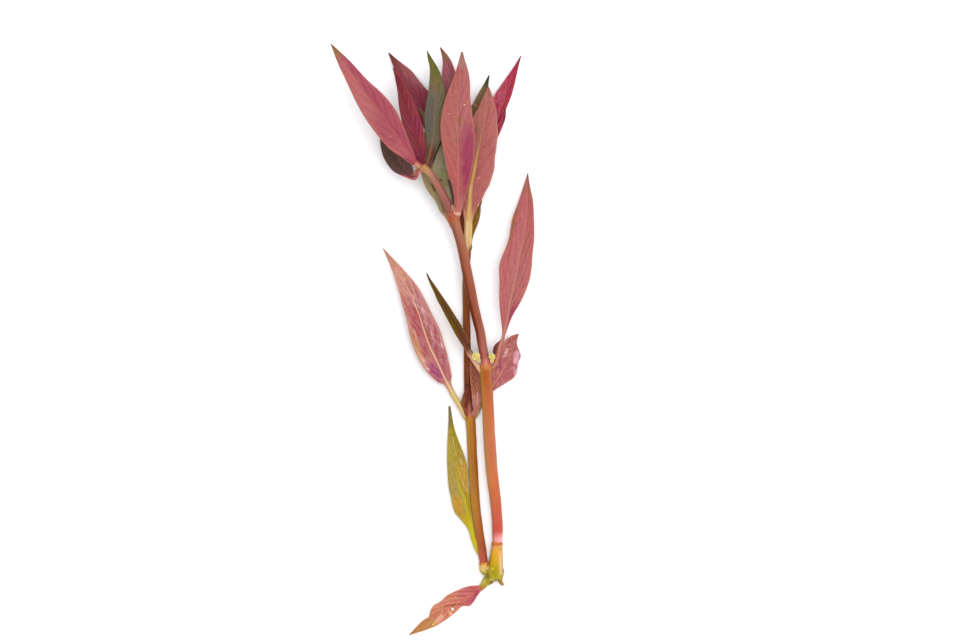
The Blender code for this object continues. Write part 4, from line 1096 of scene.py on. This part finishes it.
def stalk_half_width(leaf, t, before):
    """Half-width of the stalk, wider or slimmer at its foot and running out under the blade"""
    fade = np.clip(1 - np.maximum(0, t - leaf["stalk"]) / STALK_WIDTH_FADE, 0, 1)
    foot = 1 + (leaf["foot"] - 1) * np.clip(0.5 - t / before, 0, 1)
    return leaf["stalk_half"] * fade * foot


def half_width(leaf, hand, t, before, length):
    """Half-width of one side of the leaf, from its foot in the stem to its tip, and of its blade alone"""
    blade = taper(leaf, hand, t)
    random = np.random.default_rng(leaf["seed"] * 2 + hand)
    for rate in EDGE_RATES:
        blade = blade * (1 + EDGE_WAVE * np.sin(rate * 2 * t + random.uniform(0, 6)))
    cap = BLUNT * np.sqrt(np.clip((1 - t) * length / (BLUNT * BLUNT_LENGTH), 0, 1)) * ease(*BLUNT_FROM, t)
    half = np.hypot(np.hypot(blade, stalk_half_width(leaf, t, before)), cap)
    if hand in leaf["edges"]:
        rows = np.array(leaf["edges"][hand], float)
        first, last = rows[0, 0], rows[-1, 0]
        given = (t >= first) & (t <= last)
        edge = curve_through(rows, np.clip(t, first, last))
        half = run_together(np.where(given, edge, half))
        blade = np.where(given, edge, blade)
    return np.maximum(half, LEAST_HALF_WIDTH), blade


class Blade:
    """Grids of values on a leaf: rows along it, from its foot in the stem, and columns across it"""

    def __init__(self, leaf):
        self.leaf = leaf
        self.seed = leaf["seed"]
        self.u = np.linspace(-1, 1, COLUMNS)[None, :]
        self.out = np.abs(self.u)
        self.lay_rows()
        self.lay_columns()
        self.dome = np.sqrt(1 - self.out ** 2)
        self.stalk = 1 - ease(leaf["stalk"] * STALK_ROUND_FROM, leaf["stalk"] + STALK_ROUND_FADE, self.t)
        self.taper = 1 - RIB_TAPER * self.on

    def lay_rows(self):
        """Places and axes of the rows, and t, from 0 at the start of the spine to 1 at the tip"""
        path, self.length = smooth_path([self.leaf["joint"]] + self.leaf["spine"])
        start = np.argmin(np.linalg.norm(path - np.array(self.leaf["spine"][0]), axis=1)) / (len(path) - 1)
        share = np.linspace(0, 1, ROWS)
        self.t = ((share - start) / (1 - start))[:, None]
        self.on = np.clip(self.t, 0, 1)
        self.before = start / (1 - start)
        even = np.linspace(0, 1, len(path))
        place = np.stack([np.interp(share, even, column) for column in path.T], axis=1)
        side, up = axes(place)
        first, last = self.leaf["roll"]
        angle = np.radians(first + (last - first) * self.t)
        self.place = place[:, None, :]
        self.side = (side * np.cos(angle) + up * np.sin(angle))[:, None, :]
        self.up = (up * np.cos(angle) - side * np.sin(angle))[:, None, :]

    def each(self, left, right):
        """The left value on the left side of the blade and the right one on its right"""
        return np.where(self.u < 0, left, right)

    def lay_columns(self):
        """Widths and places across each row, x from the midrib outwards and z upwards, and their slope"""
        leaf, t = self.leaf, self.t
        (left, left_blade), (right, right_blade) = [
            half_width(leaf, hand, t, self.before, self.length) for hand in (0, 1)]
        self.half = self.each(left, right)
        self.blade = self.each(left_blade / leaf["width"][0], right_blade / leaf["width"][1])
        self.opening = np.where(t > 0.5, 1, np.minimum(1, self.blade * BLADE_OPENING))
        self.reach = self.out * self.half
        fold = np.radians(self.each(*leaf["fold"])) * self.opening
        height, count = leaf["waves"]
        beat = np.sin(TURN * count * t + WAVE_STAGGER * (self.u >= 0))
        wave = height * self.out ** 2 * np.sin(math.pi * self.on) * beat
        slant = np.sqrt(self.reach ** 2 + CREASE ** 2)
        self.x = np.sign(self.u) * self.reach * np.cos(fold)
        self.z = ((slant - CREASE) * np.sin(fold) - leaf["droop"] * self.reach * self.out
                  + wave * self.opening)
        self.tilt = fold * self.reach / slant

    def hills(self, seed, stretch, size):
        """Soft random hills that run out where the blade closes to its stalk"""
        return ripple(self.seed + seed, self.t * self.length, self.x * stretch, size) * self.opening

    def veins(self):
        """How far each point is between two side veins, in turns, and the veins themselves"""
        turn = (self.on - self.leaf["sweep"] * self.out ** VEIN_CURVE) * VEIN_PAIRS
        turn = turn + VEIN_STAGGER * (self.u >= 0)
        turn = turn + VEIN_STRAY * ripple(self.seed, self.t * self.length, self.x, *VEIN_BENDS)
        vein = bell(np.abs(turn - np.round(turn)), VEIN_WIDTH)
        vein = vein * ease(*VEIN_START, self.out) * (1 - ease(*VEIN_END, self.out))
        return turn, vein * ease(*VEIN_BLADE, self.blade) * (1 - ease(*VEIN_LAST, self.t))

    def relief(self, turn, vein, rib):
        """Height above the plain sheet: cells puffed up between the veins, veins, channel, hills, creases"""
        puff = (0.5 - 0.5 * np.cos(TURN * turn)) * np.sin(math.pi * self.out) ** PUFF_SHAPE * self.opening
        channel = rib * (1 - self.stalk) * self.opening
        hills = self.hills(*HILLS) * np.sin(0.5 * math.pi * self.out)
        creases = self.hills(*CREASES) * np.sin(math.pi * self.out)
        relief = PUFF * puff - VEIN_DEPTH * vein - CHANNEL_DEPTH * channel + HILL_HEIGHT * hills
        relief = relief + self.leaf["rumple"] * creases
        return relief + self.stalk * STALK_RISE * self.half * self.dome

    def thickness(self):
        """The round stalk, running out into the thin sheet with its keel"""
        keel = KEEL_HEIGHT * self.leaf["rib"] * bell(self.reach, KEEL_HALF) * self.taper
        sheet = MARGIN_THICKNESS + (BLADE_THICKNESS - MARGIN_THICKNESS) * (1 - self.out ** 2) + keel
        stalk = STALK_DEPTH * self.half * self.dome + MARGIN_THICKNESS
        return self.stalk * stalk + (1 - self.stalk) * sheet

    def surface(self):
        """Upper and lower faces as grids of places, and the values that the material reads"""
        rib_half = RIB_HALF * self.leaf["rib"] * (self.taper + RIB_BASE)
        turn, vein = self.veins()
        relief = self.relief(turn, vein, bell(self.reach, rib_half))
        tilt_up, tilt_out = np.cos(self.tilt), np.sign(self.u) * np.sin(self.tilt)
        normal = self.up * tilt_up[..., None] - self.side * tilt_out[..., None]
        top = self.place + self.side * self.x[..., None] + self.up * self.z[..., None]
        top = top + normal * relief[..., None]
        low = top - normal * self.thickness()[..., None]
        none = np.zeros_like(self.x)
        along_rate, across_rate = STREAK_RATES
        streak = (self.t * self.length * along_rate + none, self.x * across_rate, none + self.seed)
        rib = bell(self.reach, rib_half * RIB_COLOUR)
        rib = rib * (1 - RIB_COLOUR_FADE * ease(*RIB_COLOUR_LAST, self.t))
        values = dict(along=self.on + none, across=self.u + none, vein=vein, stalk=self.stalk + none,
                      streak=np.stack(streak, axis=-1), rib=rib)
        return top, low, values


def cut_hole(top, low, middle, radius):
    """The cells that a hole cuts away, after their corners have moved onto its round rim"""
    centre = 0.25 * (top[:-1, :-1] + top[1:, :-1] + top[:-1, 1:] + top[1:, 1:])[..., :2]
    cut = np.linalg.norm(centre - middle, axis=-1) < radius
    rows, columns = cut.shape
    corner = np.zeros(top.shape[:2], bool)
    for i in (0, 1):
        for j in (0, 1):
            corner[i:rows + i, j:columns + j] |= cut
    offset = top[..., :2] - middle
    away = np.linalg.norm(offset, axis=-1, keepdims=True)
    moved = corner[..., None] * (offset / np.maximum(away, LEAST_OFFSET) * radius - offset)
    top[..., :2] += moved
    low[..., :2] += moved
    return cut


def rim_faces(index, cut):
    """The wall of each hole, where a cut cell meets a kept one"""
    for i, j in zip(*np.nonzero(cut)):
        a, b, c, d = index[i, j], index[i, j + 1], index[i + 1, j + 1], index[i + 1, j]
        for kept, first, last in ((~cut[i - 1, j], a, b), (~cut[i + 1, j], c, d),
                                  (~cut[i, j - 1], d, a), (~cut[i, j + 1], b, c)):
            if kept:
                yield [last, first, first + index.size, last + index.size]


def sheet_faces(cut):
    """Faces of a closed sheet of two grids, without the cells that a hole cuts away"""
    rows, columns = cut.shape[0] + 1, cut.shape[1] + 1
    index = np.arange(rows * columns).reshape(rows, columns)
    upper = quads(index)[~cut]
    faces = [upper, upper[:, [0, 3, 2, 1]] + index.size]
    for a, b in ((index[:-1, 0], index[1:, 0]), (index[1:, -1], index[:-1, -1]),
                 (index[0, 1:], index[0, :-1]), (index[-1, :-1], index[-1, 1:])):
        faces.append(np.stack([a, b, b + index.size, a + index.size], axis=1))
    return np.vstack(faces).tolist() + list(rim_faces(index, cut))


def drop_loose(piece):
    """Removes points that no face uses, inside a hole"""
    sheet = bmesh.new()
    sheet.from_mesh(piece.data)
    loose = [vertex for vertex in sheet.verts if not vertex.link_faces]
    bmesh.ops.delete(sheet, geom=loose, context="VERTS")
    sheet.to_mesh(piece.data)
    sheet.free()


def add_leaf(name, leaf, look):
    """A leaf as a closed thin sheet with its relief, holes and colours"""
    top, low, values = Blade(leaf).surface()
    cut = np.zeros((ROWS - 1, COLUMNS - 1), bool)
    for middle, radius in leaf["holes"]:
        cut |= cut_hole(top, low, middle, radius)
    points = np.vstack([top.reshape(-1, 3), low.reshape(-1, 3)])
    points[:, 2] = np.maximum(points[:, 2], LEAST_HEIGHT)
    count = ROWS * COLUMNS
    fields = {"under": np.repeat([0, 1], count)}
    for key, value in values.items():
        fields[key] = np.concatenate([value.reshape(count, *value.shape[2:])] * 2)
    material = leaf_material(name, look, leaf["seed"])
    piece = make_mesh(name + "_look", points, sheet_faces(cut), material, **fields)
    drop_loose(piece)
    settle(piece, name)


# Stems

def tube(route, radius, rings):
    """Rings along a route: their places, radii and axes, and the length of the route"""
    path, length = smooth_path([(*place, thick) for place, thick in zip(route, radius)], rings)
    place, thick = path[:, :3], path[:, 3]
    return place, thick, axes(place), length


def angles(sides):
    return np.linspace(0, TURN, sides, endpoint=False)


def ring_points(place, side_and_up, radius, angle):
    """Points round each place of a path, at the given radius"""
    side, up = side_and_up
    out = side[:, None, :] * np.cos(angle)[:, None] + up[:, None, :] * np.sin(angle)[:, None]
    return place[:, None, :] + out * radius[..., None]


def tube_faces(rings, sides):
    """Faces round the rings, and a fan over each end on the last two points"""
    index = np.arange(rings * sides).reshape(rings, sides)
    after = np.roll(index, -1, axis=1)
    faces = np.stack([index[:-1], index[1:], after[1:], after[:-1]], axis=-1).reshape(-1, 4).tolist()
    first, last = index.size, index.size + 1
    faces += [[first, a, b] for a, b in zip(index[0], after[0])]
    faces += [[last, b, a] for a, b in zip(index[-1], after[-1])]
    return faces


def swellings(stem, y):
    """How much thicker the stem is at each ring of its nodes, and how strongly each ring is scarred"""
    growth = sum(height * bell(y - middle, reach) for middle, height, reach in stem["rings"])
    scar = sum(bell(y - middle, SCAR_REACH * reach) for middle, _, reach in stem["rings"])
    return growth, np.clip(scar, 0, 1) * SCAR_STRENGTH


def add_stem(name, stem):
    """A round stem with fine lengthwise ridges, swollen at its nodes"""
    place, thick, side_and_up, length = tube(stem["route"], stem["radius"], RINGS)
    angle = angles(SIDES)
    rows = np.linspace(0, 1, RINGS)
    along = rows[:, None]
    growth, scar = swellings(stem, place[:, 1])
    ridge = sum(share * np.cos(count * angle + turn * along + start) for share, count, turn, start in RIDGES)
    seed, height, size, spread = STEM_HILLS
    soft = height * ripple(seed, along * length, angle[None, :] * spread, size)
    radius = (thick + growth)[:, None] * (1 + ridge) + soft
    last = place[-1] + STEM_END * thick[-1] * unit(place[-1] - place[-2])
    points = ring_points(place, side_and_up, radius, angle).reshape(-1, 3)
    around, forward = GRAIN_RATES
    full = np.ones((RINGS, SIDES))
    grain = np.stack([np.cos(angle) * around * full, np.sin(angle) * around * full,
                      along * length * forward * full], axis=-1)

    def with_ends(values, first, last):
        return np.concatenate([values.reshape(-1, *values.shape[2:]), [first, last]])

    def share_at(y):
        return float(np.interp(y, place[:, 1], rows))

    fields = dict(along=with_ends(along * full, 0, 1), across=with_ends(np.cos(angle) * full, 0, 0),
                  vein=with_ends(scar[:, None] * full, 0, 0),
                  grain=with_ends(grain, grain[0, 0], grain[-1, 0]))
    points = np.vstack([points, place[0], last])
    material = stem_material(name, stem, share_at)
    settle(make_mesh(name + "_look", points, tube_faces(RINGS, SIDES), material, **fields), name)


def fork_arms():
    """The arms of the fork as one mesh of separate tubes"""
    body = bmesh.new()
    for arm in FORK_ARMS:
        place, thick, side_and_up, _ = tube(arm["route"], arm["radius"], ARM_RINGS)
        ring = ring_points(place, side_and_up, thick[:, None], angles(ARM_SIDES))
        points = np.vstack([ring.reshape(-1, 3), place[0], place[-1]])
        verts = [body.verts.new(tuple(point)) for point in (points - MIDDLE) * MM]
        for face in tube_faces(ARM_RINGS, ARM_SIDES):
            body.faces.new([verts[k] for k in face])
    mesh = bpy.data.meshes.new("fork_look")
    body.to_mesh(mesh)
    body.free()
    return mesh


def run_arms_together(piece):
    """Replaces the arms by one closed skin round them all, softened where they meet"""
    skin = piece.modifiers.new("run_together", "REMESH")
    skin.mode = "VOXEL"
    skin.voxel_size = FORK_GRAIN * MM
    soft = piece.modifiers.new("soften", "SMOOTH")
    soft.iterations, soft.factor = FORK_SOFTENING
    graph = bpy.context.evaluated_depsgraph_get()
    skinned = bpy.data.meshes.new_from_object(piece.evaluated_get(graph))
    piece.modifiers.clear()
    piece.data = skinned


def read_vectors(items, name):
    values = np.zeros(len(items) * 3)
    items.foreach_get(name, values)
    return values.reshape(-1, 3)


def fork_relief(x, y, z):
    """Height of the lumps, strongest where the tissue is torn, and of the rings below both stems"""
    torn = 1 - ease(*TORN, y)
    relief = 0
    planes = (x, y + 0.7 * z), (x + z, y - 0.4 * z)
    for (seed, height, size, whole), plane in zip(FORK_LUMPS, planes):
        relief = relief + ripple(seed, *plane, size) * height * (whole + torn)
    right, left = [sum(height * bell(y - middle, reach) for middle, height, reach in rings)
                   for rings in (RIGHT_RINGS, LEFT_RINGS)]
    return relief + np.where(x > FORK_MIDDLE, right, left * (y > LEFT_RINGS_FROM))


def add_fork():
    """The arms run together into one lump, roughened where the tissue is torn"""
    piece = add_object("fork_look", fork_arms())
    run_arms_together(piece)
    mesh = piece.data
    place = read_vectors(mesh.vertices, "co")
    normal = read_vectors(mesh.vertex_normals, "vector")
    place = place + normal * fork_relief(*place.T / MM)[:, None] * MM
    place[:, 2] = np.maximum(place[:, 2], FORK_LEAST_HEIGHT * MM)
    mesh.vertices.foreach_set("co", place.ravel())
    mesh.materials.clear()
    mesh.materials.append(fork_material("fork_base"))
    mesh.shade_smooth()
    settle(piece, "fork_base")


# Flower heads and bud

def add_scales(name, grids, thickness, material, **fields):
    """Many small petals or scales as one piece: a grid of places for each, given its thickness"""
    count, rows, columns = np.shape(grids)[:3]
    index = np.arange(count * rows * columns).reshape(count, rows, columns)
    along = np.tile(np.repeat(np.linspace(0, 1, rows), columns), count)
    points = np.reshape(grids, (-1, 3))
    piece = make_mesh(name + "_look", points, quads(index).reshape(-1, 4).tolist(), material, along=along,
                      **fields)
    thick = piece.modifiers.new("thickness", "SOLIDIFY")
    thick.thickness = thickness * MM
    settle(piece, name)


def along_and_across(rows, columns):
    """How far each row of a scale is along it, and each column across it"""
    return np.linspace(0, 1, rows)[:, None], np.linspace(-1, 1, columns)[None, :]


def petal(length, width):
    """A small pointed scale: a grid of places, out along z and curved back at its tip"""
    t, u = along_and_across(*PETAL_GRID)
    half = width * np.sin(math.pi * np.clip(0.25 + 0.75 * t, 0, 1)) ** 0.8
    y = 0.25 * width * (1 - u ** 2) + 0.25 * length * t ** 2
    return np.stack([u * half, y, length * t + 0 * u], axis=-1)


def petal_ball(middle, radius, random):
    """Petals evenly spread over a ball and standing out from it"""
    golden = math.pi * (3 - math.sqrt(5))
    count = OPEN_PETALS if radius > OPEN_RADIUS else YOUNG_PETALS
    for k in range(count):
        height = 1 - 2 * (k + 0.5) / count
        flat = math.sqrt(1 - height ** 2)
        out = np.array((flat * math.cos(golden * k), flat * math.sin(golden * k), height))
        side = unit(np.cross(out, PETAL_LEAN))
        back = np.cross(out, side)
        scale = petal(radius * random.uniform(*PETAL_LENGTHS), PETAL_WIDTH * radius)
        yield (middle + out * (radius * PETAL_FOOT) + scale[..., 2:] * out + scale[..., :1] * side
               + scale[..., 1:2] * back)


def add_cores(name, balls, material):
    """The solid middle of each ball of petals"""
    cores = bmesh.new()
    for middle, radius in balls:
        made = bmesh.ops.create_icosphere(cores, subdivisions=3, radius=radius * CORE_RADIUS * MM)
        bmesh.ops.translate(cores, verts=made["verts"], vec=tuple((np.array(middle) - MIDDLE) * MM))
    mesh = bpy.data.meshes.new(name + "_core")
    cores.to_mesh(mesh)
    cores.free()
    mesh.materials.append(material)
    mesh.shade_smooth()
    core = add_object(name + "_core", mesh)
    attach(core, "root")


def add_flower_head(name, balls, pale, deep):
    """A head of many small pointed petals round a core, those of its smaller ball still young"""
    random = np.random.default_rng(len(name))
    grids, young = [], []
    for middle, radius in balls:
        petals = list(petal_ball(middle, radius, random))
        grids += petals
        young += [0 if radius > OPEN_RADIUS else YOUNG_SHARE] * len(petals)
    material = flower_material(name, pale, deep)
    add_scales(name, grids, PETAL_THICKNESS, material, young=np.repeat(young, math.prod(PETAL_GRID)))
    add_cores(name, balls, material)


def bud_scale(k):
    """One of the bud's scales, higher up and further round with each one"""
    t, u = along_and_across(*BUD_GRID)
    turn = k * BUD_TURN
    out = np.array((math.cos(turn), 0, math.sin(turn)))
    ahead = np.array((0, 1, 0))
    side = np.cross(ahead, out)
    half = BUD_SCALE_WIDTH * np.sin(math.pi * (0.2 + 0.78 * t)) ** 0.8
    bulge = BUD_RADIUS * (0.72 + 0.25 * np.sin(math.pi * (0.15 + 0.75 * t))) * (1 - 0.55 * t ** 3)
    lift = BUD_HALF_LENGTH * (0.11 * k - 0.85 + 1.05 * t) + 0 * u
    return (np.array(BUD_PLACE) + side * (u * half)[..., None] + ahead * lift[..., None]
            + out * (bulge * np.sqrt(1 - 0.45 * u ** 2))[..., None])


def add_bud():
    """A closed bud of nine overlapping scales"""
    material = flower_material("flower_bud", BUD_PALE, BUD_DEEP)
    add_scales("flower_bud", [bud_scale(k) for k in range(BUD_SCALES)], BUD_THICKNESS, material)


# Paper, light and camera

def add_paper():
    """A white sheet that the cutting lies on, far wider than any view of it"""
    bpy.ops.mesh.primitive_plane_add(size=PAPER_SIZE, location=(0, 0, 0))
    paper = bpy.context.object
    paper.name = "paper"
    m = Shader("paper")
    tone = m.mix(m.step(m.noise("fibre"), *FIBRE_EDGE), PAPER_DARK, PAPER_PALE)
    m.put(m.surface.inputs["Base Color"], tone)
    m.surface.inputs["Roughness"].default_value = PAPER_ROUGHNESS
    m.surface.inputs["Specular IOR Level"].default_value = PAPER_SPECULAR
    paper.data.materials.append(m.material)


def add_light():
    """An even white surround, a broad soft lamp at the right and one overhead"""
    world = bpy.data.worlds.new("surround")
    world.use_nodes = True
    background = world.node_tree.nodes["Background"]
    background.inputs["Color"].default_value = SURROUND
    background.inputs["Strength"].default_value = SURROUND_STRENGTH
    bpy.context.scene.world = world
    for name, (place, size, power) in LAMPS.items():
        data = bpy.data.lights.new(name, "AREA")
        data.shape = "SQUARE"
        data.size = size
        data.energy = power
        lamp = add_object(name, data)
        lamp.location = place
        lamp.rotation_mode = "QUATERNION"
        lamp.rotation_quaternion = Vector(-np.array(place)).to_track_quat("-Z", "Y")
        lamp.visible_camera = False


def add_camera():
    """Straight above the middle of the frame, the long side of the plant upright"""
    data = bpy.data.cameras.new("camera")
    data.lens = LENS
    data.sensor_width = SENSOR
    data.clip_end = VIEW_DEPTH
    camera = add_object("camera", data)
    x, y, z = (np.array(FRAME_CENTRE) - MIDDLE) * MM
    camera.location = (x, y, z + FRAME_WIDTH * LENS / SENSOR * MM)
    bpy.context.scene.camera = camera


add_fork()
for stem_name, stem_row in STEMS.items():
    add_stem(stem_name, stem_row)
for number, (leaf_name, leaf_row) in enumerate(LEAVES.items(), 1):
    add_leaf(leaf_name, USUAL_LEAF | leaf_row | {"seed": number}, USUAL_LOOK | LOOKS[leaf_name])
for head_name, head_row in FLOWER_HEADS.items():
    add_flower_head(head_name, **head_row)
add_bud()
add_paper()
add_light()
add_camera()
bpy.context.scene.view_settings.view_transform = "Standard"
